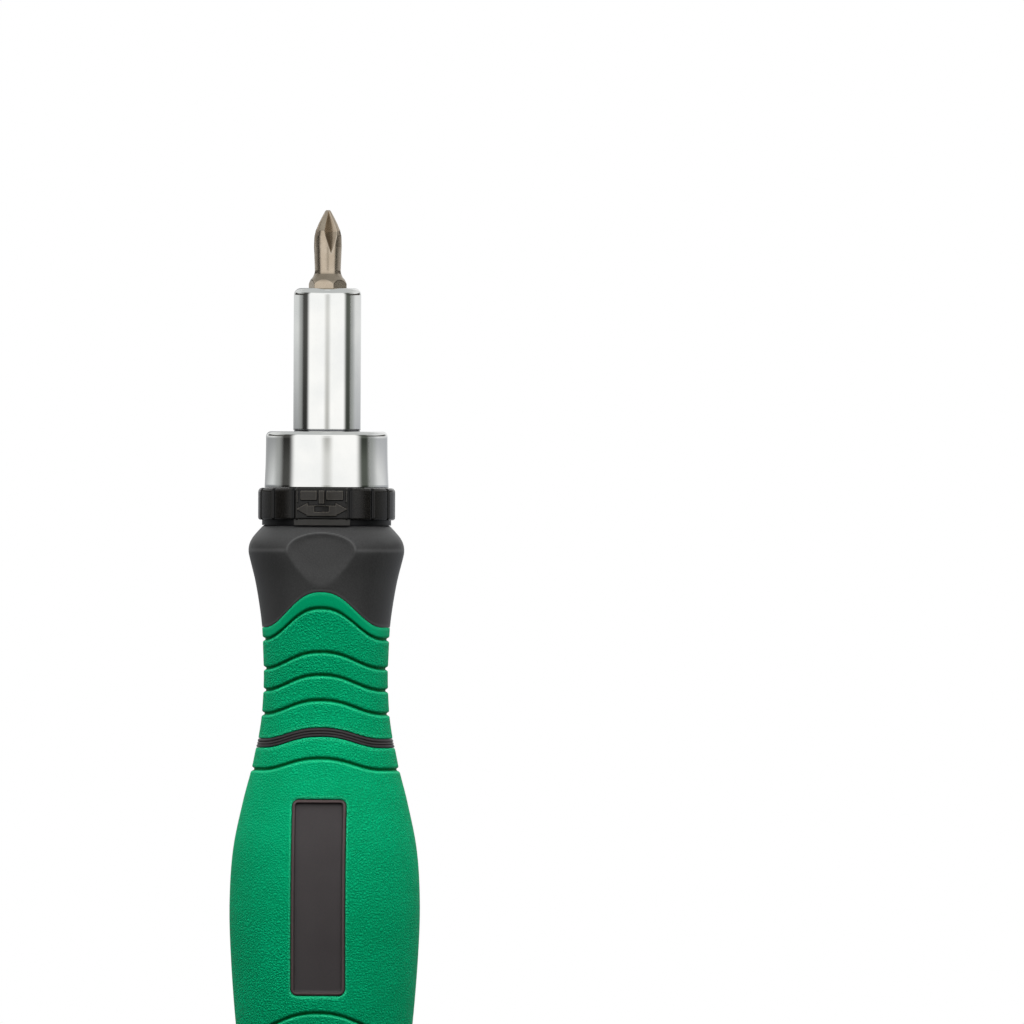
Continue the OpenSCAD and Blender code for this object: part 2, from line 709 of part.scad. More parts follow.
handle_core();
grip_upper();
grip_lower();
label_plate_front();
label_plate_back();
ratchet_housing();
ratchet_cover();
spindle_bush();
pawl_pins();
pawl_springs();
barrel();
spindle();
ratchet_gear();
bit_magnet();
thrust_washer();
circlip();
screwdriver_bit();
selector_ring();
selector_cam();
pawl_left();
pawl_right();
end_cap();
bit_carrier();
cap_oring();
spare_bit_cross();
spare_bit_slot();
spare_bit_hex();
spare_bit_star();
spare_bit_square();
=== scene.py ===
"""Ratcheting screwdriver, dressed for the eye: soft-gripped handle, selector ring, chromed barrel, bits.

Lengths are in millimetres until a mesh is made, and metres from there on. The tool stands on its butt at
the origin, +Z runs to the tip and the front faces -Y.
"""
import logging
import math
from collections.abc import Iterable
from dataclasses import dataclass, field, replace
from enum import Enum

import bpy
import numpy as np
from mathutils import Matrix, Vector


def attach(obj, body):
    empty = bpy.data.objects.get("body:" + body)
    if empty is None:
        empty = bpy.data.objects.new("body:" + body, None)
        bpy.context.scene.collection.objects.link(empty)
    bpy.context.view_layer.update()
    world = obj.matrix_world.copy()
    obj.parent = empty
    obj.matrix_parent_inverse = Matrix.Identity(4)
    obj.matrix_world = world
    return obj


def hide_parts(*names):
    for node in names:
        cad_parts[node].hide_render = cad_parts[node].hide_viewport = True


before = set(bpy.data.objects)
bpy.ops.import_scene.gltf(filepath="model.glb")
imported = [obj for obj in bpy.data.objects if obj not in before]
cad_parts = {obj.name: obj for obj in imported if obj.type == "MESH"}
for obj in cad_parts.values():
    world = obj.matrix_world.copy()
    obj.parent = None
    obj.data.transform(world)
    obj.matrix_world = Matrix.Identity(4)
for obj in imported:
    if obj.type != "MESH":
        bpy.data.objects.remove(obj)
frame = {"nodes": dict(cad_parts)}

log = logging.getLogger("screwdriver")
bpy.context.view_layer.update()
MM = 0.001
TURN = 2 * math.pi
Table = tuple[tuple[float, ...], ...]
Tree = bpy.types.NodeTree
Socket = bpy.types.NodeSocket


# Colours and nodes

def linear(code: str) -> tuple[float, float, float, float]:
    """Turns an sRGB hex colour into linear light.

    Each channel c becomes c / 12.92 below 0.04045 and ((c + 0.055) / 1.055) to the power 2.4 above it.

    Args:
        code: The colour as "#RRGGBB".

    Returns:
        Red, green, blue and an alpha of one.
    """
    channels = [int(code[i:i + 2], 16) / 255 for i in (1, 3, 5)]
    light = [c / 12.92 if c <= 0.04045 else ((c + 0.055) / 1.055) ** 2.4 for c in channels]
    return (light[0], light[1], light[2], 1.0)


def per_metre(size_mm: float) -> float:
    """Pattern scale, in repeats a metre, of a feature of a given size in millimetres."""
    return 1 / (size_mm * MM)


def add(tree: Tree, kind: str, inputs: dict | None = None, out: str | int | None = None,
        **settings) -> bpy.types.Node | Socket:
    """Adds one node with its settings, values and links.

    Args:
        tree: The node tree that takes the node.
        kind: The node's type name.
        inputs: Input name or index, with a value or with the output socket that feeds it.
        out: Name or index of the output that the caller goes on with.
        settings: Attributes of the node itself.

    Returns:
        That output's socket, or the new node where no output is named.
    """
    node = tree.nodes.new(kind)
    for name, value in settings.items():
        setattr(node, name, value)
    for name, value in (inputs or {}).items():
        if isinstance(value, Socket):
            tree.links.new(value, node.inputs[name])
        else:
            node.inputs[name].default_value = value
    return node if out is None else node.outputs[out]


# Sockets of the colour mix, which go by number because several share a name
MIX_FACTOR, MIX_A, MIX_B, MIX_RESULT = 0, 6, 7, 2


def blank_material(name: str) -> bpy.types.Material:
    """Makes a material whose node tree is empty.

    Args:
        name: Name of the material.

    Returns:
        The material.
    """
    material = bpy.data.materials.new(name)
    material.use_nodes = True
    material.node_tree.nodes.clear()
    return material


def in_scene(name: str, data: bpy.types.ID) -> bpy.types.Object:
    """Makes an object and links it into the scene.

    Args:
        name: Name of the object.
        data: Its mesh, light or camera.

    Returns:
        The object.
    """
    made = bpy.data.objects.new(name, data)
    bpy.context.scene.collection.objects.link(made)
    return made


# Finishes

MESH_MARKS = ("edge", "groove", "smooth")


@dataclass(frozen=True)
class Noise:
    """Noise from zero to one.

    Attributes:
        size_mm: Width of its features.
        detail: How many finer octaves it has.
        roughness: Strength of each octave beside the one before.
        squeeze: Scale across the tool's axis; a small one stretches the noise into rings round the axis.
    """
    size_mm: float
    detail: float = 2.0
    roughness: float = 0.5
    squeeze: float = 1.0


@dataclass(frozen=True)
class Ramp:
    """A share that follows a source in a straight line and is held at both ends.

    Attributes:
        source: Name of the noise, pattern or mesh mark that it follows.
        low: Value of the source where the line starts.
        high: Value of the source where the line ends.
        at_low: Share at the start.
        at_high: Share at the end.
        times: Name of a pattern that the share is multiplied by.
    """
    source: str
    low: float = 0.0
    high: float = 1.0
    at_low: float = 0.0
    at_high: float = 1.0
    times: str | None = None


@dataclass(frozen=True)
class Look:
    """What a finish is made of.

    Attributes:
        noises: Its noises by name.
        layers: Colours laid over the main colour in turn, each with its share.
        rough: Roughness.
        bumps: Height, real depth in millimetres and strength of each bump, each laid over the one before.
    """
    noises: dict[str, Noise]
    layers: tuple[tuple[str, Ramp], ...]
    rough: Ramp
    bumps: tuple[tuple[Ramp, float, float], ...]


@dataclass(frozen=True)
class Finish:
    """What every finish has: a name, two colours, roughness and a look that a subclass lays down.

    Attributes:
        name: Plain name of the material.
        colour: Main colour in sRGB hex.
        other_colour: The colour that it drifts to.
        metallic: One for bare metal.
        roughness: Middle roughness.
        roughness_spread: How far roughness wanders each side of the middle.
        settings: Further values of the shader's own sockets.
    """
    name: str
    colour: str
    other_colour: str
    metallic: float = 0.0
    roughness: float = 0.4
    roughness_spread: float = 0.05
    settings: tuple[tuple[str, float | tuple[float, ...]], ...] = ()

    def build(self) -> bpy.types.Material:
        """Makes the material: noises and patterns, the ramps on them, then the layered colour and the bumps.

        Returns:
            The node material.
        """
        material = blank_material(self.name)
        tree = material.node_tree
        look = self.look()
        place = add(tree, "ShaderNodeTexCoord", out="Object")
        sources = self.patterns(tree, place)
        for name, noise in look.noises.items():
            where = add(tree, "ShaderNodeMapping",
                        {"Vector": place, "Scale": (noise.squeeze, noise.squeeze, 1.0)}, "Vector")
            sources[name] = add(tree, "ShaderNodeTexNoise",
                                {"Vector": where, "Scale": per_metre(noise.size_mm), "Detail": noise.detail,
                                 "Roughness": noise.roughness}, "Fac")
        ramps = [look.rough, *(share for _, share in look.layers), *(height for height, _, _ in look.bumps)]
        for name in MESH_MARKS:
            if any(ramp.source == name for ramp in ramps):
                sources[name] = add(tree, "ShaderNodeAttribute", out="Fac", attribute_name=name)
        shares = {}
        for ramp in ramps:
            shares[ramp] = add(tree, "ShaderNodeMapRange",
                               {"Value": sources[ramp.source], "From Min": ramp.low, "From Max": ramp.high,
                                "To Min": ramp.at_low, "To Max": ramp.at_high}, "Result")
            if ramp.times:
                shares[ramp] = add(tree, "ShaderNodeMath", {0: shares[ramp], 1: sources[ramp.times]}, 0,
                                   operation="MULTIPLY")
        colour = linear(self.colour)
        for code, share in look.layers:
            colour = add(tree, "ShaderNodeMix",
                         {MIX_FACTOR: shares[share], MIX_A: colour, MIX_B: linear(code)}, MIX_RESULT,
                         data_type="RGBA")
        below = {}
        for height, depth_mm, strength in look.bumps:
            below = {"Normal": add(tree, "ShaderNodeBump",
                                   {"Height": shares[height], "Distance": depth_mm * MM,
                                    "Strength": strength, **below}, "Normal")}
        shader = add(tree, "ShaderNodeBsdfPrincipled",
                     {"Base Color": colour, "Metallic": self.metallic, "Roughness": shares[look.rough],
                      **below, **dict(self.settings)}, "BSDF")
        add(tree, "ShaderNodeOutputMaterial", {"Surface": shader})
        return material

    def rough(self, source: str, low: float, high: float) -> Ramp:
        """Roughness that wanders by the finish's spread while a source goes from low to high."""
        return Ramp(source, low, high, self.roughness - self.roughness_spread,
                    self.roughness + self.roughness_spread)

    def patterns(self, tree: Tree, place: Socket) -> dict[str, Socket]:
        """Patterns other than noise, none unless a subclass adds some.

        Args:
            tree: The node tree.
            place: Object coordinates.

        Returns:
            Sockets by the patterns' names.
        """
        return {}

    def look(self) -> Look:
        """The finish's noises, colours, roughness and bumps, laid down by a subclass."""
        raise NotImplementedError


@dataclass(frozen=True)
class MouldedPlastic(Finish):
    """Injection-moulded plastic from a spark-eroded mould: a fine dull grain, edges a little lighter from
    wear and from painted highlights, and painted shade in recesses.

    Attributes:
        grain_mm: Width of a grain.
        grain_depth_mm: Depth of the grain.
        worn_and_lit_colour: Colour of worn edges and of painted highlights.
        worn_and_lit_share: Share of that colour on the sharpest edges.
        recess_shade_colour: Painted shade in the bottoms of recesses.
        drift_mm: Width of the faint clouds in its colour.
        settings: Further values of the shader's own sockets: a lower gloss.
    """
    grain_mm: float = 0.3
    grain_depth_mm: float = 0.02
    worn_and_lit_colour: str = "#5A5A5A"
    worn_and_lit_share: float = 0.3
    recess_shade_colour: str = "#0B0B0A"
    drift_mm: float = 11.0
    settings: tuple[tuple[str, float | tuple[float, ...]], ...] = (("Specular IOR Level", 0.3),)

    def look(self) -> Look:
        """Colour drifts in clouds; the mesh's edge mark brings in the colour of wear and painted highlights,
        and its groove mark the painted shade of recesses.
        """
        return Look(
            {"cloud": Noise(self.drift_mm), "speck": Noise(self.grain_mm)},
            ((self.other_colour, Ramp("cloud", 0.35, 0.65)),
             (self.worn_and_lit_colour, Ramp("speck", 0.3, 0.7, 0.0, 0.12)),
             # edge mark: wear, and painted highlights
             (self.worn_and_lit_colour, Ramp("edge", at_high=self.worn_and_lit_share)),
             # groove mark: painted shade in recesses
             (self.recess_shade_colour, Ramp("groove"))),
            self.rough("speck", 0.25, 0.75),
            ((Ramp("speck"), self.grain_depth_mm, 1.0),))


@dataclass(frozen=True)
class SoftGrip(Finish):
    """Thermoplastic rubber moulded over the core: leather grain, with painted shade in the groove bottoms and
    the grain's creases and painted highlights on rounded edges.

    Attributes:
        cell_mm: Width of a grain cell. The real grain is about 0.4 mm, drawn a little coarser so it shows.
        cell_depth_mm: Depth of the lines between cells.
        fine_mm: Width of the fine grain on the cells.
        fine_depth_mm: Depth of the fine grain.
        sway_mm: Width of the noise that bends the cells out of line.
        sway_reach: How far it bends them along each axis, in metres.
        drift_mm: Width of the faint clouds in its colour.
        groove_shade_colour: Painted shade at the bottom of a groove and in the grain's creases.
        lit_colour: Painted highlight on the rounded edges.
    """
    cell_mm: float = 0.55
    cell_depth_mm: float = 0.12
    fine_mm: float = 0.16
    fine_depth_mm: float = 0.008
    sway_mm: float = 2.2
    sway_reach: tuple[float, float, float] = (0.0011, 0.0011, 0.0007)
    drift_mm: float = 14.0
    groove_shade_colour: str = "#006030"
    lit_colour: str = "#2CC68C"

    def patterns(self, tree: Tree, place: Socket) -> dict[str, Socket]:
        """Distance to the edges of bent Voronoi cells, and how much grain the mesh's smooth mark leaves.

        Args:
            tree: The node tree.
            place: Object coordinates.

        Returns:
            The cells and the share of grain that is left.
        """
        sway = add(tree, "ShaderNodeTexNoise", {"Vector": place, "Scale": per_metre(self.sway_mm)}, "Color")
        bent = add(tree, "ShaderNodeVectorMath", {0: sway, 1: self.sway_reach, 2: place}, "Vector",
                   operation="MULTIPLY_ADD")
        cells = add(tree, "ShaderNodeTexVoronoi", {"Vector": bent, "Scale": per_metre(self.cell_mm)},
                    "Distance", feature="DISTANCE_TO_EDGE")
        smooth = add(tree, "ShaderNodeAttribute", out="Fac", attribute_name="smooth")
        grained = add(tree, "ShaderNodeMapRange", {"Value": smooth, "To Min": 1.0, "To Max": 0.12}, "Result")
        return {"cells": cells, "grained": grained}

    def look(self) -> Look:
        """Grain sinks towards the edges of the cells, and painted shade darkens them there, where the surface
        isn't smooth.
        """
        return Look(
            {"cloud": Noise(self.drift_mm), "fine": Noise(self.fine_mm)},
            ((self.other_colour, Ramp("cloud", 0.35, 0.65)),
             # painted shade in the grain's creases
             (self.groove_shade_colour, Ramp("cells", 0.0, 0.1, 0.3, 0.0, times="grained")),
             # painted highlight on rounded edges
             (self.lit_colour, Ramp("edge", at_high=0.7)),
             # painted shade at the groove bottoms
             (self.groove_shade_colour, Ramp("groove"))),
            self.rough("fine", 0.25, 0.75),
            ((Ramp("cells", high=0.3, times="grained"), self.cell_depth_mm, 0.8),
             (Ramp("fine"), self.fine_depth_mm, 0.6)))


@dataclass(frozen=True)
class PlatedChrome(Finish):
    """Bright chromium plate on turned and polished steel: mirror-like, with faint polishing lines round it.

    Attributes:
        line_mm: Spacing of the polishing lines along the axis.
        line_depth_mm: Depth of the polishing lines.
        cloud_mm: Width of the clouds in its tone and roughness.
        root_line_shade_colour: Painted shade in the fine turned line at the barrel's root.
    """
    line_mm: float = 0.25
    line_depth_mm: float = 0.0004
    cloud_mm: float = 6.0
    root_line_shade_colour: str = "#8C8D90"

    def look(self) -> Look:
        """Polishing lines are noise stretched round the axis."""
        return Look(
            {"lines": Noise(self.line_mm, squeeze=0.04), "cloud": Noise(self.cloud_mm, 3.0)},
            ((self.other_colour, Ramp("cloud", 0.35, 0.65)),
             # painted shade in the turned line at the root
             (self.root_line_shade_colour, Ramp("groove"))),
            self.rough("cloud", 0.3, 0.7),
            ((Ramp("lines"), self.line_depth_mm, 0.5),))


@dataclass(frozen=True)
class TurnedSteel(Finish):
    """Steel as it leaves the lathe and the tumbler: fine feed lines round the axis and a mottled satin.

    Attributes:
        feed_mm: Spacing of the feed lines. A real feed of 0.1 mm is drawn at this spacing so it shows.
        line_depth_mm: Depth of the feed lines.
        mottle_mm: Width of the mottle.
        mottle_depth_mm: Depth of the mottle.
        cloud_mm: Width of the clouds in its colour.
        edge_highlight_colour: Colour of the painted highlights on edges.
        shade_colour: Painted shade in the flutes and recesses.
    """
    feed_mm: float = 0.22
    line_depth_mm: float = 0.004
    mottle_mm: float = 0.5
    mottle_depth_mm: float = 0.003
    cloud_mm: float = 3.0
    edge_highlight_colour: str = "#D8D2C8"
    shade_colour: str = "#2A2418"

    def look(self) -> Look:
        """Feed lines are noise stretched round the axis, under the tumbler's mottle."""
        return Look(
            {"lines": Noise(self.feed_mm, 3.0, squeeze=0.05), "mottle": Noise(self.mottle_mm, 4.0, 0.6),
             "cloud": Noise(self.cloud_mm, 3.0)},
            ((self.other_colour, Ramp("cloud", 0.3, 0.7)),
             (self.other_colour, Ramp("mottle", 0.45, 0.8, 0.0, 0.35)),
             # edge mark: painted highlights
             (self.edge_highlight_colour, Ramp("edge", at_high=0.6)),
             # groove mark: painted shade
             (self.shade_colour, Ramp("groove"))),
            self.rough("mottle", 0.25, 0.75),
            ((Ramp("lines"), self.line_depth_mm, 0.7), (Ramp("mottle"), self.mottle_depth_mm, 0.4)))


@dataclass(frozen=True)
class SinteredMetal(Finish):
    """Pressed and sintered metal: dull, pitted with pores, a little darker in the pores.

    Attributes:
        pore_mm: Spacing of the pores.
        pore_depth_mm: Depth of the pores.
        cloud_mm: Width of the clouds in its colour.
        pore_colour: Colour in a pore.
        highlight_from_mm: Distance from the tool's axis past which a highlight is painted.
        highlight_blur_mm: Distance over which that starts, each side.
        highlight_colour: Colour of that painted highlight.
    """
    pore_mm: float = 0.3
    pore_depth_mm: float = 0.02
    cloud_mm: float = 2.5
    pore_colour: str = "#141414"
    highlight_from_mm: float = 50.0
    highlight_blur_mm: float = 0.05
    highlight_colour: str = "#8A8A88"

    def patterns(self, tree: Tree, place: Socket) -> dict[str, Socket]:
        """Distance to the centres of Voronoi cells, and distance to the tool's axis.

        Args:
            tree: The node tree.
            place: Object coordinates.

        Returns:
            The cells and the radius, in metres.
        """
        cells = add(tree, "ShaderNodeTexVoronoi", {"Vector": place, "Scale": per_metre(self.pore_mm)},
                    "Distance", feature="F1")
        flat = add(tree, "ShaderNodeVectorMath", {0: place, 1: (1.0, 1.0, 0.0)}, "Vector",
                   operation="MULTIPLY")
        radius = add(tree, "ShaderNodeVectorMath", {0: flat}, "Value", operation="LENGTH")
        return {"cells": cells, "radius": radius}

    def look(self) -> Look:
        """A pore is where the distance to a cell's centre is small."""
        start, end = self.highlight_from_mm - self.highlight_blur_mm, self.highlight_from_mm + self.highlight_blur_mm
        return Look(
            {"cloud": Noise(self.cloud_mm, 4.0)},
            ((self.other_colour, Ramp("cloud", 0.3, 0.7)),
             (self.pore_colour, Ramp("cells", 0.08, 0.3, 0.7, 0.0)),
             # painted highlight past a set distance from the axis
             (self.highlight_colour, Ramp("radius", start * MM, end * MM))),
            self.rough("cloud", 0.3, 0.7),
            ((Ramp("cells", 0.05, 0.35), self.pore_depth_mm, 0.7),))


def core_plastic() -> Finish:
    """Injection-moulded glass-filled nylon of the core: dark grey and dull, with paler edges from wear and
    from painted highlights, and painted shade across the band between the grips.
    """
    return MouldedPlastic("moulded dark nylon", "#323232", "#373737", roughness=0.42, roughness_spread=0.06,
                          worn_and_lit_colour="#666666", worn_and_lit_share=0.55, recess_shade_colour="#1C1417")


def plate_plastic() -> Finish:
    """Injection-moulded ABS of the label plates: brownish black, with a finer grain than the core's."""
    return MouldedPlastic("moulded label plate plastic", "#363334", "#3A3738", roughness=0.38, grain_mm=0.2,
                          grain_depth_mm=0.008, worn_and_lit_colour="#5E4A49", worn_and_lit_share=0.5)


def ring_plastic() -> Finish:
    """Injection-moulded acetal of the selector ring: glossy black, with painted highlights on the sign's
    edges and face and painted shade in its grooves and outlines.
    """
    return MouldedPlastic("moulded black acetal", "#0B0A09", "#100F0D", roughness=0.2, roughness_spread=0.04,
                          grain_mm=0.2, grain_depth_mm=0.002, worn_and_lit_colour="#55514B", worn_and_lit_share=0.85,
                          recess_shade_colour="#020202")


def carrier_plastic() -> Finish:
    """Injection-moulded polypropylene of the bit carrier: black and half matt."""
    return MouldedPlastic("moulded black polypropylene", "#232323", "#2C2C2C", roughness=0.42)


def grip_rubber() -> Finish:
    """Moulded thermoplastic rubber of both grips: saturated green and matt, with a faint green sheen."""
    return SoftGrip("moulded green soft grip", "#00AE75", "#00A66E", roughness=0.5, roughness_spread=0.08,
                    settings=(("Specular IOR Level", 0.03), ("Sheen Weight", 0.14), ("Sheen Roughness", 0.35),
                              ("Sheen Tint", linear("#00D896"))))


def seal_rubber() -> Finish:
    """Moulded nitrile rubber of the O-ring: black and matt, with hardly any grain."""
    return MouldedPlastic("black nitrile rubber", "#0F0F0F", "#191919", roughness=0.55, grain_mm=0.1,
                          worn_and_lit_colour="#3A3A3A", worn_and_lit_share=0.1)


def barrel_chrome() -> Finish:
    """Polished chromium plate of the barrel: bright enough to mirror the studio in crisp bands."""
    return PlatedChrome("polished chromium plate", "#FAFAF7", "#F2F3F1", metallic=1.0, roughness=0.07,
                        roughness_spread=0.015)


def bit_steel() -> Finish:
    """Plated and tumbled tool steel of the bits: a champagne-toned satin, with painted highlights on its
    edges and painted shade in its flutes and collar.
    """
    return TurnedSteel("satin plated tool steel", "#CEC0AD", "#BBAC98", metallic=1.0, roughness=0.25,
                       roughness_spread=0.06)


def machined_steel() -> Finish:
    """Turned bare steel of the spindle, gear, washer, pins, cam, cover and pawls: grey, with lathe lines."""
    return TurnedSteel("turned bare steel", "#A4A8AC", "#8C9094", metallic=1.0, roughness=0.3,
                       edge_highlight_colour="#E0E2E4")


def spring_steel() -> Finish:
    """Blued spring steel of the leaf springs and the circlip: dark blue-grey, with paler edges."""
    return TurnedSteel("blued spring steel", "#4C545E", "#3A414A", metallic=1.0, roughness=0.28,
                       edge_highlight_colour="#8D97A2")


def housing_steel() -> Finish:
    """Pressed, sintered and phosphated steel of the ratchet housing: near black, with a painted highlight on
    its tab.
    """
    return SinteredMetal("phosphated sintered steel", "#121213", "#0C0D0E", metallic=0.1, roughness=0.34,
                         highlight_from_mm=12.2, highlight_colour="#3C3B39", settings=(("Specular IOR Level", 0.15),))


def bush_bronze() -> Finish:
    """Oil-filled sintered bronze of the spindle's bush: warm and dull, with dark pores."""
    return SinteredMetal("sintered bronze", "#B0894E", "#94713D", metallic=1.0, roughness=0.38,
                         pore_colour="#3A2A14")


def magnet_nickel() -> Finish:
    """Nickel plate of the magnet: a warm, fairly bright grey."""
    return TurnedSteel("nickel plated magnet", "#B9B7B2", "#A3A19C", metallic=1.0, roughness=0.2)


# Surfaces

@dataclass
class Surface:
    """A closed surface in millimetres, as arrays.

    Attributes:
        points: Point coordinates, one row each.
        quads: Four point numbers a face.
        triangles: Three point numbers a face.
        marks: Named numbers a point.
    """
    points: np.ndarray
    quads: np.ndarray
    triangles: np.ndarray = field(default_factory=lambda: np.zeros((0, 3), int))
    marks: dict[str, np.ndarray] = field(default_factory=dict)

    def all_triangles(self) -> np.ndarray:
        """Every face as triangles: each quad gives two."""
        return np.vstack([self.quads[:, [0, 1, 2]], self.quads[:, [0, 2, 3]], self.triangles])

    def outward(self) -> "Surface":
        """Turns every face round if the enclosed volume comes out negative.

        The volume is a sixth of the sum of the triangles' triple products.

        Returns:
            The same surface, facing outwards.
        """
        a, b, c = (self.points[self.all_triangles()[:, i]] for i in range(3))
        if np.einsum("ij,ij->", a, np.cross(b, c)) < 0:
            self.quads = self.quads[:, ::-1]
            self.triangles = self.triangles[:, ::-1]
        return self

    def tidied(self) -> "Surface":
        """Drops the points that no face uses.

        Returns:
            The same surface with its points renumbered.
        """
        used, numbers = np.unique(np.concatenate([self.quads.ravel(), self.triangles.ravel()]),
                                  return_inverse=True)
        self.points = self.points[used]
        self.marks = {name: values[used] for name, values in self.marks.items()}
        self.quads = numbers[:self.quads.size].reshape(-1, 4)
        self.triangles = numbers[numbers.size - self.triangles.size:].reshape(-1, 3)
        return self

    def piece(self, name: str, finish: bpy.types.Material, sharp_degrees: float = 40.0,
              weighted: bool = True) -> bpy.types.Object:
        """Makes the Blender object.

        Args:
            name: Name of the piece.
            finish: Its material.
            sharp_degrees: Faces that meet at more than this keep a sharp edge.
            weighted: Whether large faces rule the shading over the small roundings beside them.

        Returns:
            The object, in the scene, at the origin.
        """
        self.tidied().outward()
        mesh = bpy.data.meshes.new(name)
        mesh.from_pydata(self.points * MM, [], self.quads.tolist() + self.triangles.tolist())
        mesh.validate()
        for label, values in self.marks.items():
            mesh.attributes.new(label, "FLOAT", "POINT").data.foreach_set("value", values.astype(np.float32))
        mesh.polygons.foreach_set("use_smooth", np.ones(len(mesh.polygons), bool))
        mesh.set_sharp_from_angle(angle=math.radians(sharp_degrees))
        mesh.materials.append(finish)
        piece = in_scene(name, mesh)
        if weighted:
            shading = piece.modifiers.new("even shading", "WEIGHTED_NORMAL")
            shading.keep_sharp = True
        log.info("%s: %d points, %d faces", name, len(mesh.vertices), len(mesh.polygons))
        return piece


def lattice(rows: int, columns: int, wrap_rows: bool = False, wrap_columns: bool = True) -> np.ndarray:
    """Quads of a lattice of points numbered row by row: each joins a point with the next in both directions.

    Args:
        rows: Number of rows of points.
        columns: Number of points a row.
        wrap_rows: Whether the last row joins the first.
        wrap_columns: Whether the last column joins the first.

    Returns:
        Four point numbers a quad.
    """
    r, c = np.meshgrid(np.arange(rows - (not wrap_rows)), np.arange(columns - (not wrap_columns)),
                       indexing="ij")
    up, across = (r + 1) % rows, (c + 1) % columns
    quads = np.stack([r * columns + c, r * columns + across, up * columns + across, up * columns + c], -1)
    return quads.reshape(-1, 4)


def capped(grid: np.ndarray, marks: dict[str, np.ndarray]) -> Surface:
    """Closes a stack of rings at both ends, each with a fan of triangles to the middle of its last ring.

    Args:
        grid: Points as rows by columns by three, each row a closed ring.
        marks: Named numbers, as rows by columns.

    Returns:
        The closed surface.
    """
    rows, columns = grid.shape[:2]
    points = np.vstack([grid.reshape(-1, 3), grid[0].mean(0), grid[-1].mean(0)])
    here = np.arange(columns)
    beside = (here + 1) % columns
    last = (rows - 1) * columns
    foot = np.stack([beside, here, np.full(columns, rows * columns)], -1)
    head = np.stack([last + here, last + beside, np.full(columns, rows * columns + 1)], -1)
    flat_marks = {name: np.concatenate([values.ravel(), [values[0].mean(), values[-1].mean()]])
                  for name, values in marks.items()}
    return Surface(points, lattice(rows, columns), np.vstack([foot, head]), flat_marks)


def shell(outer: np.ndarray, inner: np.ndarray, kept: np.ndarray, wrap: bool,
          marks: dict[str, np.ndarray]) -> Surface:
    """Closes two equal grids into one wall: both grids' kept cells, and a strip between them along every edge
    where a kept cell has none beside it.

    Args:
        outer: Outer points, rows by columns by three.
        inner: Inner points, the same size.
        kept: Which cells stay, rows less one by cells a row.
        wrap: Whether the last column joins the first.
        marks: Named numbers of the outer points, rows by columns; the inner points get zero.

    Returns:
        The closed surface.
    """
    rows, columns = outer.shape[:2]
    total = rows * columns
    cells = lattice(rows, columns, wrap_columns=wrap)
    flags = kept.ravel()
    padded = np.pad(kept, ((1, 1), (0, 0)))
    sides = np.roll(kept, 1, 1), np.roll(kept, -1, 1)
    if not wrap:
        sides[0][:, 0] = False
        sides[1][:, -1] = False
    bare = [kept & ~padded[:-2], kept & ~sides[1], kept & ~padded[2:], kept & ~sides[0]]
    walls = []
    for side, edge in enumerate(bare):
        a, b = cells[edge.ravel(), side], cells[edge.ravel(), (side + 1) % 4]
        walls.append(np.stack([b, a, a + total, b + total], -1))
    quads = np.vstack([cells[flags], cells[flags][:, ::-1] + total, *walls])
    both = {name: np.concatenate([values.ravel(), np.zeros(total)]) for name, values in marks.items()}
    return Surface(np.vstack([outer.reshape(-1, 3), inner.reshape(-1, 3)]), quads, marks=both)


def spread(start: float, end: float, step: float) -> np.ndarray:
    """Even places from start up to but not including end, no further apart than step."""
    count = max(int(math.ceil(abs(end - start) / step)), 1)
    return start + (end - start) * np.arange(count) / count


def arc(x: float, y: float, radius: float, start: float, end: float, steps: int = 6) -> np.ndarray:
    """Points of an arc: centre plus radius times cosine and sine of angles from start to end in degrees."""
    angles = np.radians(np.linspace(start, end, steps + 1))
    return np.stack([x + radius * np.cos(angles), y + radius * np.sin(angles)], -1)


def from_nearest(angles: np.ndarray, middle: float | np.ndarray, pitch: float) -> np.ndarray:
    """Angle from the nearest of evenly spaced middles, between minus and plus half a pitch."""
    return np.mod(angles - middle + pitch / 2, pitch) - pitch / 2


def smooth_step(value: np.ndarray) -> np.ndarray:
    """Zero below zero, one above one and three v squared less two v cubed between."""
    v = np.clip(value, 0, 1)
    return v * v * (3 - 2 * v)


def soft_least(a: np.ndarray, b: np.ndarray, reach: float) -> np.ndarray:
    """The lesser of two values, rounded where they are closer than reach: the least less reach times the
    square of the closeness over four.

    Args:
        a: First values.
        b: Second values.
        reach: Difference at which the rounding starts.

    Returns:
        The rounded minimum.
    """
    close = np.clip(1 - np.abs(a - b) / reach, 0, 1)
    return np.minimum(a, b) - reach * close * close / 4


def box_distance(x: np.ndarray, y: np.ndarray, half_x: float, half_y: float, corner: float) -> np.ndarray:
    """Signed distance to a rounded rectangle about the origin, negative inside.

    With q the distance past the inner rectangle in x and y, it is the length of q's positive part plus the
    lesser of zero and q's greater part, less the corner radius.

    Args:
        x: Places across.
        y: Places up.
        half_x: Half its width.
        half_y: Half its height.
        corner: Corner radius.

    Returns:
        The distance, as an array.
    """
    qx, qy = np.abs(x) - half_x + corner, np.abs(y) - half_y + corner
    return np.hypot(np.maximum(qx, 0), np.maximum(qy, 0)) + np.minimum(np.maximum(qx, qy), 0) - corner


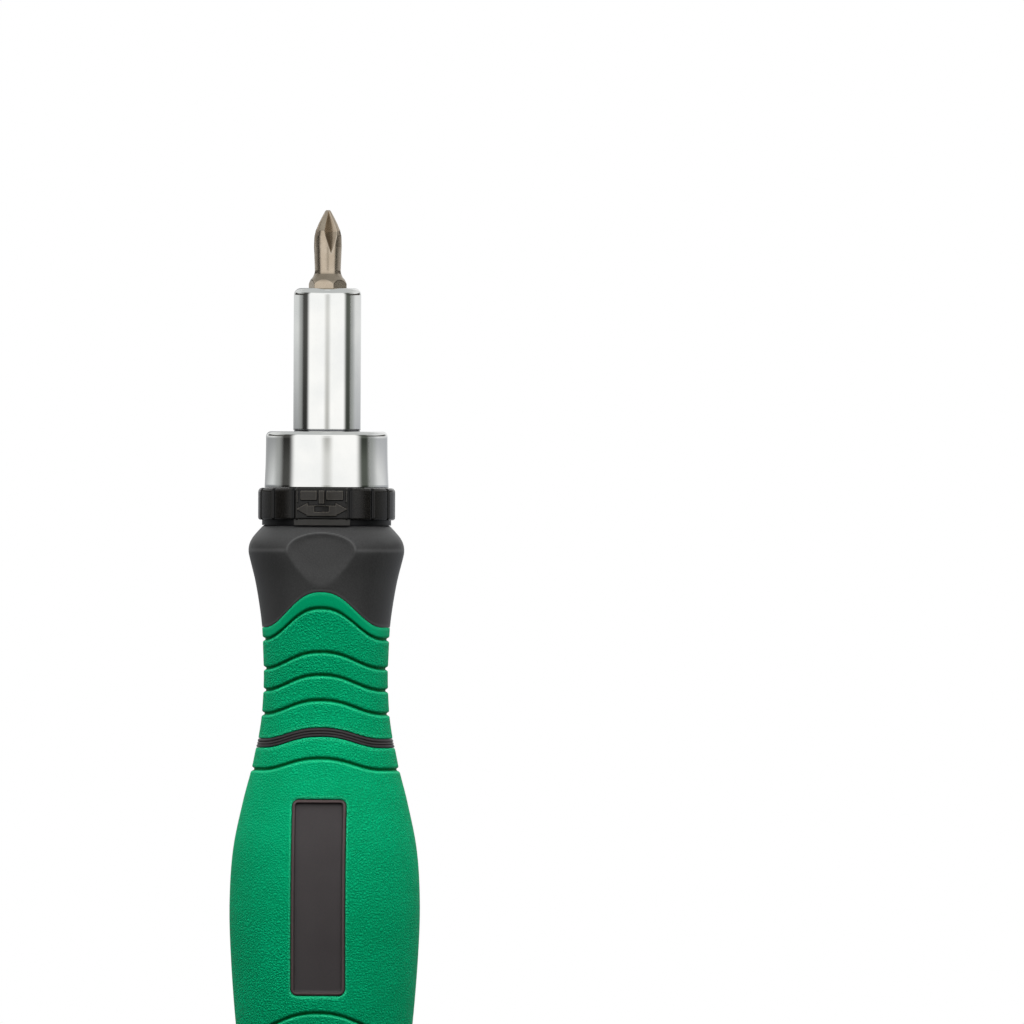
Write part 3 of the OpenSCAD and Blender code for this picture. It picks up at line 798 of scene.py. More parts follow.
def polygon_distance(corners: Iterable[tuple[float, float]], x: np.ndarray, y: np.ndarray) -> np.ndarray:
    """Signed distance to a convex polygon given anticlockwise, negative inside: the greatest distance past
    any of its sides.

    Args:
        corners: Corner places.
        x: Places across.
        y: Places up.

    Returns:
        The distance, as an array.
    """
    places = np.asarray(list(corners), float)
    result = np.full(np.shape(x), -np.inf)
    for (ax, ay), (bx, by) in zip(places, np.roll(places, -1, 0)):
        length = math.hypot(bx - ax, by - ay)
        result = np.maximum(result, ((by - ay) * (x - ax) - (bx - ax) * (y - ay)) / length)
    return result


def hex_radius(angles: np.ndarray, apothem: float, turn: float, sides: int = 6) -> np.ndarray:
    """Distance from the centre of a regular polygon to its side along each angle: the apothem over the cosine
    of the angle from the nearest side's middle.

    Args:
        angles: Angles in radians.
        apothem: Distance from the centre to a side.
        turn: Angle of the first corner in degrees.
        sides: Number of sides.

    Returns:
        The distances.
    """
    part = TURN / sides
    offset = np.mod(angles - math.radians(turn), part) - part / 2
    return apothem / np.cos(offset)


def turned_grid(radii: np.ndarray, heights: np.ndarray, angles: np.ndarray) -> np.ndarray:
    """Points at radius times cosine, radius times sine and height.

    Args:
        radii: Radii, as rows by columns or as rows by one.
        heights: Height of each row.
        angles: Angle of each column in radians.

    Returns:
        Points as rows by columns by three.
    """
    radii = np.broadcast_to(radii, (len(heights), len(angles)))
    z = np.broadcast_to(np.reshape(heights, (len(heights), -1)), radii.shape)
    return np.stack([radii * np.cos(angles), radii * np.sin(angles), z], -1)


# Handle

@dataclass(frozen=True)
class Wave:
    """A wave cut straight through along Y.

    With u the share of the half width, to the crest power, height is the trough plus the rise times one plus
    the cosine of pi u, halved, and the trough outside the half width.

    Attributes:
        trough: Height at the sides.
        rise: Height of the crest above the trough.
        half_width: Where the wave meets the trough.
        crest_power: Fullness of the crest.
    """
    trough: float
    rise: float = 0.0
    half_width: float = 11.0
    crest_power: float = 1.2

    def height(self, x: np.ndarray) -> np.ndarray:
        """Height of the wave at each x."""
        inside = np.clip(np.abs(x) / self.half_width, 0, 1)
        return self.trough + self.rise * (1 + np.cos(math.pi * inside ** self.crest_power)) / 2

    def moved(self, lift: float) -> "Wave":
        """The same wave, higher by lift."""
        return replace(self, trough=self.trough + lift)


@dataclass(frozen=True)
class Ring:
    """One closed line round the handle, at a blend of two waves' heights.

    Attributes:
        low: Wave that it follows where share is zero.
        high: Wave that it follows where share is one.
        share: How far it is from low to high.
        inset: Depth below the handle's side.
        radius: Plain radius that takes the place of the handle's side.
        marks: Groove, edge and smooth marks of its points.
    """
    low: Wave
    high: Wave
    share: float = 0.0
    inset: float = 0.0
    radius: float | None = None
    marks: tuple[float, float, float] = (0.0, 0.0, 0.0)


def level(z: float, radius: float | None = None, edge: float = 0.0, smooth: float = 1.0) -> Ring:
    """A level ring at a height, of a plain radius or, where none is given, on the handle's side."""
    return Ring(Wave(z), Wave(z), radius=radius, marks=(0.0, edge, smooth))


@dataclass
class HandleForm:
    """The handle's outside as a turned form, with the lines that part its pieces. All in millimetres.

    Attributes:
        length: Length of the handle.
        belly_r: Radius of the belly.
        waist_r: Radius of the waist.
        ridge_r: Radius of the neck's ridge.
        neck_top_r: Radius at the neck's upper end.
        butt_r: Radius at the butt.
        belly_share: Height of the belly as a share of the length.
        waist_share: Height of the waist as a share of the length.
        ridge_drop: Distance of the ridge below the upper end.
        flat_y: Distance of the neck's two flats from the axis.
        flat_crease: Difference in depth at which a flat's edge starts to round.
        flat_scoop: How far a flat is hollowed.
        flat_blend: Depth over which the hollow sets in.
        grip_t: Thickness of the grips.
        groove_w: Width of a groove in the grips.
        groove_d: Depth of a groove.
        seam: Gap between the edges of two mouldings.
        bond: Gap under a bonded grip.
        band_w: Width of the black band.
        band_share: Height of the band's trough as a share of the length.
        band_rise: Rise of its wave.
        top_drop: Distance of the upper grip's upper trough below the upper end.
        top_rise: Rise of the upper grip's upper edge.
        bottom_share: Height of the lower grip's lower trough as a share of the length.
        bottom_rise: Rise of that edge.
        bottom_half: Half width of its wave.
        under_band: Distance of the lower grip's upper groove below the band.
        over_bottom: Distance of its lower groove above its lower edge.
        upper_waves: Each groove of the upper grip: its place down the grip and its rise, as shares.
        plane_x: Greatest x of the columns that lie in planes, at the front and back.
        plane_share: Greatest share of the radius that those planes take.
        settle_rounds: How often x and height are fitted to each other.
        groove_section: Points across a groove: place in half widths, depth as a share, groove mark for
            painted shade and edge mark for a painted highlight, strongest on the shoulder below.
        lip_section: Points over an edge: place, depth as a share and edge mark for a painted highlight.
        butt_shares: Knots of the side between butt and belly: height and radius as shares of the stretch.
        belly_shares: Knots between belly and waist.
        flare_shares: Knots between waist and ridge.
        shoulder_shares: Knots between ridge and upper end.
    """
    length: float = 121.1
    belly_r: float = 17.8
    waist_r: float = 11.6
    ridge_r: float = 14.56
    neck_top_r: float = 11.75
    butt_r: float = 13.5
    belly_share: float = 0.417
    waist_share: float = 0.7614
    ridge_drop: float = 4.7
    flat_y: float = 13.07
    flat_crease: float = 0.1
    flat_scoop: float = 0.16
    flat_blend: float = 0.9
    grip_t: float = 1.8
    groove_w: float = 0.8
    groove_d: float = 0.5
    seam: float = 0.05
    bond: float = 0.02
    band_w: float = 1.8
    band_share: float = 0.6565
    band_rise: float = 2.1
    top_drop: float = 19.1
    top_rise: float = 6.6
    bottom_share: float = 0.1858
    bottom_rise: float = 3.9
    bottom_half: float = 14.0
    under_band: float = 4.0
    over_bottom: float = 3.8
    upper_waves: Table = ((0.106, 0.88), (0.37, 0.47), (0.567, 0.44), (0.779, 0.39))
    plane_x: float = 8.0
    plane_share: float = 0.68
    settle_rounds: int = 10
    groove_section: Table = ((-1.9, 0.0, 0.0, 0.0), (-1.35, 0.03, 0.0, 1.0), (-1.05, 0.16, 0.0, 0.8),
                             (-0.72, 0.5, 0.1, 0.2), (-0.42, 0.92, 0.7, 0.0), (0.0, 1.0, 1.0, 0.0),
                             (0.42, 0.92, 0.8, 0.0), (0.72, 0.5, 0.3, 0.0), (1.05, 0.16, 0.0, 0.1),
                             (1.35, 0.03, 0.0, 0.2), (1.9, 0.0, 0.0, 0.0))
    lip_section: Table = ((0.75, 0.0, 0.0), (0.4, 0.02, 0.5), (0.18, 0.1, 0.5), (0.05, 0.24, 0.2),
                          (0.0, 0.42, 0.0))
    butt_shares: Table = ((0.24, 0.28), (0.55, 0.7), (0.8, 0.93))
    belly_shares: Table = ((0.24, 0.9), (0.46, 0.6), (0.6, 0.355), (0.69, 0.23), (0.76, 0.13), (0.85, 0.05))
    flare_shares: Table = ((0.2, 0.04), (0.41, 0.125), (0.58, 0.3), (0.77, 0.575), (0.955, 0.95))
    shoulder_shares: Table = ((0.25, 0.94), (0.49, 0.75), (0.72, 0.44))

    def __post_init__(self) -> None:
        """Lays out the knots of the side and the waves."""
        belly_z, waist_z = self.belly_share * self.length, self.waist_share * self.length
        ridge_z = self.length - self.ridge_drop
        stretches = (
            (self.butt_shares, 0.0, belly_z, self.butt_r, self.belly_r, (0.0, self.butt_r)),
            (self.belly_shares, belly_z, waist_z, self.waist_r, self.belly_r, (belly_z, self.belly_r)),
            (self.flare_shares, waist_z, ridge_z, self.waist_r, self.ridge_r, (waist_z, self.waist_r)),
            (self.shoulder_shares, ridge_z, self.length, self.neck_top_r, self.ridge_r,
             (ridge_z, self.ridge_r)))
        knots = []
        for shares, low, high, small, large, first in stretches:
            knots.append(first)
            knots.extend((low + (high - low) * s, small + (large - small) * rise) for s, rise in shares)
        knots.append((self.length, self.neck_top_r))
        self.knots = np.array(knots)
        neighbours = np.pad(self.knots, ((1, 1), (0, 0)), mode="edge")
        chord = neighbours[2:] - neighbours[:-2]
        self.slopes = chord[:, 1] / chord[:, 0]
        self.waist_z = waist_z
        self.top = Wave(self.length - self.top_drop, self.top_rise)
        self.band_low = Wave(self.band_share * self.length, self.band_rise)
        self.band_high = self.band_low.moved(self.band_w)
        self.first_low_groove = self.band_low.moved(-self.under_band)
        self.bottom = Wave(self.bottom_share * self.length, self.bottom_rise, self.bottom_half)
        self.low_groove = self.bottom.moved(self.over_bottom)
        height = self.top.trough - self.band_high.trough
        self.upper_grooves = [Wave(self.top.trough - height * place, self.top.rise * rise)
                              for place, rise in self.upper_waves]
        self.groove_reach = self.groove_section[-1][0] * self.groove_w / 2
        self.lip_reach = self.lip_section[0][0]

    def side(self, z: np.ndarray) -> np.ndarray:
        """Radius of the side at each height.

        Between two knots it is the cubic with their radii and, as slopes, those of the neighbours' chords.

        Args:
            z: Heights.

        Returns:
            The radii.
        """
        z = np.clip(z, 0, self.length)
        i = np.clip(np.searchsorted(self.knots[:, 0], z, side="right") - 1, 0, len(self.knots) - 2)
        start, end = self.knots[i], self.knots[i + 1]
        span = end[..., 0] - start[..., 0]
        u = (z - start[..., 0]) / span
        v = 1 - u
        return (start[..., 1] * v * v * (1 + 2 * u) + end[..., 1] * u * u * (1 + 2 * v)
                + span * u * v * (self.slopes[i] * v - self.slopes[i + 1] * u))

    def columns(self, stops: Iterable[float], step: float, side_step: float) -> tuple[np.ndarray, np.ndarray]:
        """Columns of a grid round the handle: straight planes of one x at the front and back, where the waves
        and the window are cut, and even angles at the sides.

        Args:
            stops: Places of x, from zero up, that need a column on both sides of the middle.
            step: Greatest distance between planes.
            side_step: Greatest distance along the side arcs.

        Returns:
            The sector of each column, 0 front, 1 right, 2 back, 3 left, and its place there from -1 to 1.
        """
        places = [0.0, *stops, self.plane_x]
        half = np.concatenate([spread(a, b, step) for a, b in zip(places, places[1:])])
        planes = np.concatenate([[-self.plane_x], -half[:0:-1], half]) / self.plane_x
        arc_count = int(math.ceil(2 * self.belly_r * math.acos(self.plane_x / self.belly_r) / side_step))
        arcs = -1 + 2 * np.arange(arc_count) / arc_count
        places = np.concatenate([planes, arcs, planes, arcs])
        sectors = np.repeat([0, 1, 2, 3], [len(planes), len(arcs), len(planes), len(arcs)])
        return sectors, places

    def trace(self, rings: list[Ring], columns: tuple[np.ndarray, np.ndarray], flats: bool = False
              ) -> tuple[np.ndarray, dict[str, np.ndarray]]:
        """Points of each ring at each column.

        A column fixes x, or the angle, for a radius; the height there gives a new radius, and a few rounds of
        this settle both.

        Args:
            rings: The rings, in order along the surface.
            columns: Sectors and places of the columns.
            flats: Whether the neck's flats are cut.

        Returns:
            Points as rings by columns by three, and the marks.
        """
        sectors, places = columns
        direction = np.where(sectors == 2, -1.0, 1.0)
        front_back = (sectors % 2) == 0
        rows = []
        for ring in rings:
            radius = np.full(len(places), ring.radius or self.side(ring.low.trough) - ring.inset)
            for _ in range(self.settle_rounds):
                plane = np.minimum(self.plane_x, self.plane_share * radius)
                half_angle = np.arccos(plane / radius)
                x = np.where(front_back, direction * places * plane,
                             np.where(sectors == 1, 1, -1) * radius * np.cos(places * half_angle))
                z = ring.low.height(x) * (1 - ring.share) + ring.high.height(x) * ring.share
                if ring.radius is None:
                    radius = self.side(z) - ring.inset
            y = np.sqrt(np.maximum(radius ** 2 - x ** 2, 0))
            if flats:
                deep = y - self.flat_y
                scooped = self.flat_y - self.flat_scoop * smooth_step(deep / self.flat_blend)
                y = np.where(z > self.waist_z, soft_least(y, scooped, self.flat_crease), y)
            front = (sectors == 0) | ((sectors == 1) & (places < 0)) | ((sectors == 3) & (places > 0))
            rows.append(np.stack([x, np.where(front, -y, y), z], -1))
        grid = np.array(rows)
        labels = ("groove", "edge", "smooth")
        marks = {label: np.repeat([[ring.marks[k]] for ring in rings], len(places), 1)
                 for k, label in enumerate(labels)}
        return grid, marks

    def plain(self, low: Wave, high: Wave, step: float, smooth: float = 0.0) -> list[Ring]:
        """Rings evenly between two waves, without the two ends."""
        shares = spread(0.0, 1.0, step / max(high.trough - low.trough, step))[1:]
        return [Ring(low, high, share, marks=(0.0, 0.0, smooth)) for share in shares]

    def groove(self, wave: Wave, smooth_below: float = 0.0, smooth_above: float = 0.0) -> list[Ring]:
        """Rings across a groove: rounded shoulders and a rounded bottom.

        Args:
            wave: The groove's middle line.
            smooth_below: Smooth mark of the rings below the middle.
            smooth_above: Smooth mark of the rings from the middle up.

        Returns:
            The rings, upwards.
        """
        return [Ring(wave.moved(place * self.groove_w / 2), wave, inset=share * self.groove_d,
                     marks=(dark, edge, smooth_below if place < 0 else smooth_above))
                for place, share, dark, edge in self.groove_section]

    def lip(self, wave: Wave, upwards: float, depth: float, smooth: float = 0.0) -> list[Ring]:
        """Rings of a rounded edge that ends at a wave.

        Args:
            wave: Line of the edge.
            upwards: 1 where the surface lies above the edge, -1 where it lies below.
            depth: How deep the rounding goes.
            smooth: Smooth mark of the rings.

        Returns:
            The rings, from the open surface to the edge itself.
        """
        return [Ring(wave.moved(upwards * place), wave, inset=share * depth, marks=(0.0, edge, smooth))
                for place, share, edge in self.lip_section]


@dataclass
class Grips:
    """The two soft grips, each a closed wall with grooves, and the lower one with its two label windows.

    Attributes:
        form: The handle's form.
        finish: Material of the grips.
        step: Greatest distance between rings.
        edge_depth: Depth of the rounded edges.
        window_half: Half width of a window.
        window_z: Height of its middle.
        window_half_len: Half its length.
        corner: Radius of its corners.
        corner_near: Places of rows and columns inside the window, from its edge to the corner's centre.
        corner_beside: Places outside the window, towards its edge.
        rim_w: Width of the rounding along the window's edge.
        rim_depth: Depth of that rounding.
    """
    form: HandleForm
    finish: bpy.types.Material
    step: float = 0.7
    edge_depth: float = 0.26
    window_half: float = 5.125
    window_z: float = 51.7
    window_half_len: float = 18.3
    corner: float = 1.2
    corner_near: tuple[float, ...] = (0.0, 0.15, 0.4, 0.8)
    corner_beside: tuple[float, ...] = (0.8, 0.45, 0.2, 0.08)
    rim_w: float = 0.5
    rim_depth: float = 0.28

    def upper(self) -> bpy.types.Object:
        """Builds the upper grip: rings from the band up over the outside, then down the inside.

        Returns:
            The piece.
        """
        form = self.form
        low, high = form.band_high, form.top
        rings = form.lip(low, 1, self.edge_depth)[::-1]
        lines = form.upper_grooves[::-1]
        start = low.moved(form.lip_reach)
        for line in lines:
            rings += form.plain(start, line.moved(-form.groove_reach), self.step)
            rings += form.groove(line, smooth_above=1.0 if line is lines[-1] else 0.0)
            start = line.moved(form.groove_reach)
        rings += form.plain(start, high.moved(-form.lip_reach), self.step / 2, smooth=1.0)
        rings += form.lip(high, -1, self.edge_depth, smooth=1.0)
        inner = [Ring(low, high, share, form.grip_t) for share in np.linspace(1, 0, 9)]
        grid, marks = form.trace(rings + inner, form.columns((), step=0.5, side_step=0.8))
        rows, columns = grid.shape[:2]
        surface = Surface(grid.reshape(-1, 3), lattice(rows, columns, wrap_rows=True),
                          marks={name: values.ravel() for name, values in marks.items()})
        return surface.piece("upper_grip", self.finish, 60, weighted=False)

    def window_rows(self) -> list[Ring]:
        """Level rings through the window: close together at its ends, where the corners are.

        Returns:
            The rings, upwards.
        """
        low, high = self.window_z - self.window_half_len, self.window_z + self.window_half_len
        near, beside = np.array(self.corner_near), np.array(self.corner_beside)
        heights = np.concatenate([low - beside, low + near,
                                  spread(low + self.corner, high - self.corner, 1.0),
                                  [high - self.corner], high - near[::-1], high + beside[::-1]])
        return [level(z, smooth=0.0) for z in heights]

    def lower(self) -> bpy.types.Object:
        """Builds the lower grip as an outer and an inner grid with the window's cells left out, and draws the
        outline's points onto the window's rounded corners.

        Returns:
            The piece.
        """
        form = self.form
        window = self.window_rows()
        rings = form.lip(form.bottom, 1, self.edge_depth)[::-1]
        lip, groove = form.lip_reach, form.groove_reach
        rings += form.plain(form.bottom.moved(lip), form.low_groove.moved(-groove), self.step)
        rings += form.groove(form.low_groove)
        rings += form.plain(form.low_groove.moved(groove), window[0].low, self.step)
        rings += window
        rings += form.plain(window[-1].low, form.first_low_groove.moved(-groove), self.step)
        rings += form.groove(form.first_low_groove)
        rings += form.plain(form.first_low_groove.moved(groove), form.band_low.moved(-lip), self.step)
        rings += form.lip(form.band_low, -1, self.edge_depth)
        stops = [self.window_half - near for near in (self.corner, *self.corner_near[::-1])]
        stops += [self.window_half + beside for beside in self.corner_beside[::-1]]
        columns = form.columns(stops, self.step, side_step=0.9)
        outer, marks = form.trace(rings, columns)
        inner, _ = form.trace([Ring(r.low, r.high, r.share, form.grip_t) for r in rings], columns)
        faces_y = columns[0] % 2 == 0
        past = box_distance(outer[..., 0], outer[..., 2] - self.window_z, self.window_half,
                            self.window_half_len, self.corner)
        past = np.where(faces_y[None, :], past, math.inf)
        beside = np.roll(past, -1, 1)
        kept = past[:-1] + beside[:-1] + past[1:] + beside[1:] > 0
        for grid in (outer, inner):
            self.draw_to_outline(grid, kept)
        rounding = (1 - np.clip(past / self.rim_w, 0, 1)) ** 2 * self.rim_depth
        outer[..., 1] -= np.sign(outer[..., 1]) * rounding
        # The window's rounded rim takes a painted highlight.
        rubbed = (past > 0.1 * self.rim_w) & (past < 0.9 * self.rim_w)
        marks["edge"] = np.maximum(marks["edge"], 0.8 * rubbed)
        return shell(outer, inner, kept, True, marks).piece("lower_grip", self.finish, 60, weighted=False)

    def draw_to_outline(self, grid: np.ndarray, kept: np.ndarray) -> None:
        """Moves the points on the hole's edge along x and z onto the rounded outline.

        Args:
            grid: Points, changed in place.
            kept: Which cells stay.
        """
        cells = np.pad(kept, ((1, 1), (0, 0)), constant_values=True)
        around = np.stack([cells[:-1], cells[1:], np.roll(cells[:-1], 1, 1), np.roll(cells[1:], 1, 1)])
        on_edge = around.any(0) & ~around.all(0)
        x, z = grid[..., 0], grid[..., 2] - self.window_z
        corner_x = np.sign(x) * (self.window_half - self.corner)
        corner_z = np.sign(z) * (self.window_half_len - self.corner)
        reach_x, reach_z = x - corner_x, z - corner_z
        length = np.maximum(np.hypot(reach_x, reach_z), 1e-6)
        in_corner = on_edge & (np.sign(x) * reach_x > 0.01) & (np.sign(z) * reach_z > 0.01)
        radius = np.hypot(grid[..., 0], grid[..., 1])
        grid[..., 0] = np.where(in_corner, corner_x + reach_x / length * self.corner, x)
        grid[..., 2] = np.where(in_corner, corner_z + reach_z / length * self.corner + self.window_z,
                                grid[..., 2])
        y = np.sqrt(np.maximum(radius ** 2 - grid[..., 0] ** 2, 0))
        grid[..., 1] = np.where(in_corner, np.sign(grid[..., 1]) * y, grid[..., 1])


@dataclass
class LabelPlates:
    """The bare plates in the front and back windows, each with a raised round rim.

    Attributes:
        form: The handle's form.
        finish: Material of the plates.
        half_width: Half a plate's width.
        half_length: Half its length.
        middle_z: Height of its middle.
        corner: Radius of its corners.
        rim_w: Width of the rim.
        rim_d: Depth of the rim's inner foot below the grip's face.
        side_d: Depth of its outer foot.
        plate_d: Depth of the flat plate.
        slope_w: Width of the slope from the rim to the plate.
        near: Distances from the edge at which the grid has a line.
    """
    form: HandleForm
    finish: bpy.types.Material
    half_width: float = 5.025
    half_length: float = 18.2
    middle_z: float = 51.7
    corner: float = 1.1
    rim_w: float = 0.6
    rim_d: float = 0.3
    side_d: float = 0.35
    plate_d: float = 0.7
    slope_w: float = 0.25
    near: tuple[float, ...] = (0.0, 0.06, 0.14, 0.24, 0.34, 0.44, 0.52, 0.6, 0.68, 0.8, 1.1)

    def build(self, name: str, facing: float) -> bpy.types.Object:
        """Builds one plate as a wall between its face and the core.

        Depth below the grip runs over a half-round rim, then down a short slope to the flat plate.

        Args:
            name: Name of the piece.
            facing: -1 for the front, 1 for the back.

        Returns:
            The piece.
        """
        across = self.places(self.half_width, 0.5)
        along = self.places(self.half_length, 0.6)
        x, z = self.to_corners(*np.meshgrid(across, along))
        depth_in = -box_distance(x, z, self.half_width, self.half_length, self.corner)
        half_rim = self.rim_w / 2
        crest = np.sqrt(np.clip(1 - ((depth_in - half_rim) / (1.2 * half_rim)) ** 2, 0, 1))
        lowered = smooth_step((depth_in - self.rim_w + 0.1) / self.slope_w)
        sunk = np.where(depth_in < half_rim, self.side_d * (1 - crest),
                        self.plate_d * lowered + (1 - lowered) * self.rim_d * (1 - crest))
        radius = self.form.side(z + self.middle_z)
        back = radius - self.form.grip_t + self.form.bond
        outer, inner = (np.stack([x, facing * np.sqrt(r ** 2 - x ** 2), z + self.middle_z], -1)
                        for r in (radius - sunk, back))
        rim = smooth_step((self.rim_w - depth_in) / 0.2) * crest
        kept = np.ones((len(along) - 1, len(across) - 1), bool)
        marks = {"edge": rim, "groove": np.zeros_like(rim)}
        return shell(outer, inner, kept, False, marks).piece(name, self.finish, 60, weighted=False)

    def places(self, half: float, step: float) -> np.ndarray:
        """Places from -half to half, close together at both ends.

        Args:
            half: Half the length.
            step: Greatest distance between places away from the ends.

        Returns:
            The places.
        """
        ends = half - np.array(self.near)
        middle = spread(-ends[-1], ends[-1], step)[1:]
        return np.concatenate([-ends, middle, ends[::-1]])

    def to_corners(self, x: np.ndarray, z: np.ndarray) -> tuple[np.ndarray, np.ndarray]:
        """Bends the square corners of the grid to the plate's corner radius.

        In a corner's square each point keeps its greater coordinate as its distance from the square's inner
        corner, and its direction.

        Args:
            x: Places across.
            z: Places along.

        Returns:
            The bent places.
        """
        corner_x, corner_z = self.half_width - self.corner, self.half_length - self.corner
        px, pz = np.maximum(np.abs(x) - corner_x, 0), np.maximum(np.abs(z) - corner_z, 0)
        length = np.maximum(np.hypot(px, pz), 1e-9)
        shrink = np.where((px > 0) & (pz > 0), np.maximum(px, pz) / length, 1.0)
        new_x = np.sign(x) * np.where(px > 0, corner_x + px * shrink, np.abs(x))
        new_z = np.sign(z) * np.where(pz > 0, corner_z + pz * shrink, np.abs(z))
        return new_x, new_z


@dataclass
class Core:
    """The hard core: tail end, black band and neck in sight, and the bores that hold housing and store.

    Attributes:
        form: The handle's form.
        finish: Material of the core.
        foot_z: Height of the tail's foot.
        store_r: Radius of the store's bore.
        store_top: Height of its roof.
        spigot_r: Radius of the bore for the housing's spigot.
        spigot_z: Height of that bore's floor.
        mouth_r: Radius of the core's upper face, inside the neck's rounding.
        clip_r: Radius of the room for the circlip.
        clip_z: Height of its floor.
        shoulder_z: Height where the neck's level rings end.
        hole_r: Radius of the innermost ring of a closed end.
        floor_r: Radius of the middle ring on the circlip room's floor.
        roof_r: Radius of the middle ring on the store's roof.
        chamfer: Size of the chamfers at the bores' mouths.
        lip_depth: Depth of the rounded edges beside the grips.
        neck_step: Distance between the neck's rings.
        band_section: Points over the band: place in widths, depth and edge mark, a painted highlight that
            also eases the band's painted shade.
        outline_w: Depth either side of a flat's outline that takes a painted highlight.
        ridge_w: Height either side of the ridge that takes a painted highlight.
        ridge_fade: Depth short of a flat over which the ridge's painted highlight sets in.
    """
    form: HandleForm
    finish: bpy.types.Material
    foot_z: float = 6.15
    store_r: float = 11.5
    store_top: float = 40.0
    spigot_r: float = 9.62
    spigot_z: float = 109.4
    mouth_r: float = 10.6
    clip_r: float = 6.5
    clip_z: float = 105.9
    shoulder_z: float = 109.2
    hole_r: float = 0.4
    floor_r: float = 3.0
    roof_r: float = 6.0
    chamfer: float = 0.2
    lip_depth: float = 0.16
    neck_step: float = 0.2
    band_section: Table = ((0.0, 0.4, 0.0), (0.02, 0.2, 0.0), (0.08, 0.05, 0.6), (0.18, 0.0, 0.6),
                           (0.3, 0.03, 0.2), (0.36, 0.2, 0.0), (0.42, 0.03, 0.5), (0.58, 0.03, 0.5),
                           (0.64, 0.2, 0.0), (0.7, 0.03, 0.2), (0.82, 0.0, 0.6), (0.92, 0.05, 0.6),
                           (0.98, 0.2, 0.0), (1.0, 0.4, 0.0))
    outline_w: float = 0.16
    ridge_w: float = 0.55
    ridge_fade: float = 0.3

    def band(self) -> list[Ring]:
        """Rings of the band between the grips: three beads with two fine lines between them. The whole band
        takes painted shade, less on the beads, which take painted highlights.

        Returns:
            The rings, upwards.
        """
        low = self.form.band_low.moved(self.form.seam)
        width = self.form.band_w - 2 * self.form.seam
        # painted shade over the band, less on the beads, and painted highlights on them
        return [Ring(low.moved(place * width), low, inset=inset, marks=(1.0 - 0.6 * edge, edge, 1.0))
                for place, inset, edge in self.band_section]

    def build(self) -> bpy.types.Object:
        """Builds the core as one path of rings, from the clip room's floor out over the neck, down the
        outside and up the store to its roof.

        Returns:
            The piece.
        """
        form = self.form
        hidden = form.grip_t + form.bond
        top, clear = form.length, form.seam
        bevel, shoulder_z = self.chamfer, self.shoulder_z
        bores = [level(self.clip_z, self.hole_r), level(self.clip_z, self.floor_r),
                 level(self.clip_z, self.clip_r), level(self.spigot_z, self.clip_r),
                 level(self.spigot_z, self.spigot_r), level(top - 6, self.spigot_r),
                 level(top - bevel, self.spigot_r), level(top, self.spigot_r + bevel),
                 level(top, self.mouth_r)]
        heights = np.concatenate([spread(top, top - 0.6, 0.1),
                                  spread(top - 0.6, shoulder_z, self.neck_step)])
        # The neck's upper edge takes a painted highlight.
        neck = [level(top, form.neck_top_r - 0.22, 0.5), level(top - 0.03, form.neck_top_r - 0.06, 0.7)]
        neck += [level(z) for z in heights if z < top - 0.15]
        edge = form.top.moved(clear)
        neck += [Ring(edge.moved(form.lip_reach), Wave(shoulder_z), share, marks=(0.0, 0.0, 1.0))
                 for share in np.linspace(1, 0, 16)[:-1]]
        neck += form.lip(edge, 1, self.lip_depth)
        under_upper = [Ring(form.band_high.moved(-clear), edge, share, hidden)
                       for share in np.linspace(1, 0, 10)]
        under_lower = [Ring(form.bottom.moved(-clear), form.band_low.moved(clear), share, hidden)
                       for share in np.linspace(1, 0, 26)]
        tail_edge = form.bottom.moved(-clear)
        tail = form.lip(tail_edge, -1, self.lip_depth)[::-1]
        tail += [Ring(Wave(self.foot_z + 0.25), tail_edge.moved(-form.lip_reach), share)
                 for share in np.linspace(1, 0, 20)[1:]]
        foot_r = float(form.side(np.array(self.foot_z)))
        tail += [level(self.foot_z + 0.08, foot_r - 0.03, 0.6), level(self.foot_z, foot_r - bevel, 0.4),
                 level(self.foot_z, self.store_r + bevel), level(self.foot_z + bevel, self.store_r),
                 level(self.store_top - 10, self.store_r), level(self.store_top, self.store_r),
                 level(self.store_top, self.roof_r), level(self.store_top, self.hole_r)]
        rings = bores + neck + under_upper + self.band()[::-1] + under_lower + tail
        columns = form.columns((form.plane_x / 2,), step=0.22, side_step=0.7)
        grid, marks = form.trace(rings, columns, flats=True)
        # Painted highlights along the neck's ridge and the flats' upper outlines.
        marks["edge"] = np.maximum(marks["edge"], self.neck_highlights(grid))
        return capped(grid, marks).piece("handle_body", self.finish, 55)

    def neck_highlights(self, grid: np.ndarray) -> np.ndarray:
        """How close each point lies to the neck's ridge or to the upper edge of a flat, where a highlight is
        painted.

        Both fall from one at the line to zero at a set reach; deep is how far the round form stands past the
        flat, so it is zero on the flat's outline.

        Args:
            grid: Points of the core, rings by columns by three.

        Returns:
            Shares from zero to one.
        """
        form = self.form
        x, z = grid[..., 0], grid[..., 2]
        ridge_z = form.length - form.ridge_drop
        deep = np.sqrt(np.maximum(form.side(z) ** 2 - x ** 2, 0)) - form.flat_y
        outline = smooth_step(1 - np.abs(deep) / self.outline_w) * smooth_step((z - ridge_z + 0.8) / 1.2)
        ridge = smooth_step(1 - np.abs(z - ridge_z) / self.ridge_w) * smooth_step(-deep / self.ridge_fade)
        in_sight = (z > form.top.trough + 8) & (np.hypot(x, grid[..., 1]) > form.neck_top_r)
        return np.maximum(outline, ridge * 0.7) * in_sight


# Selector ring

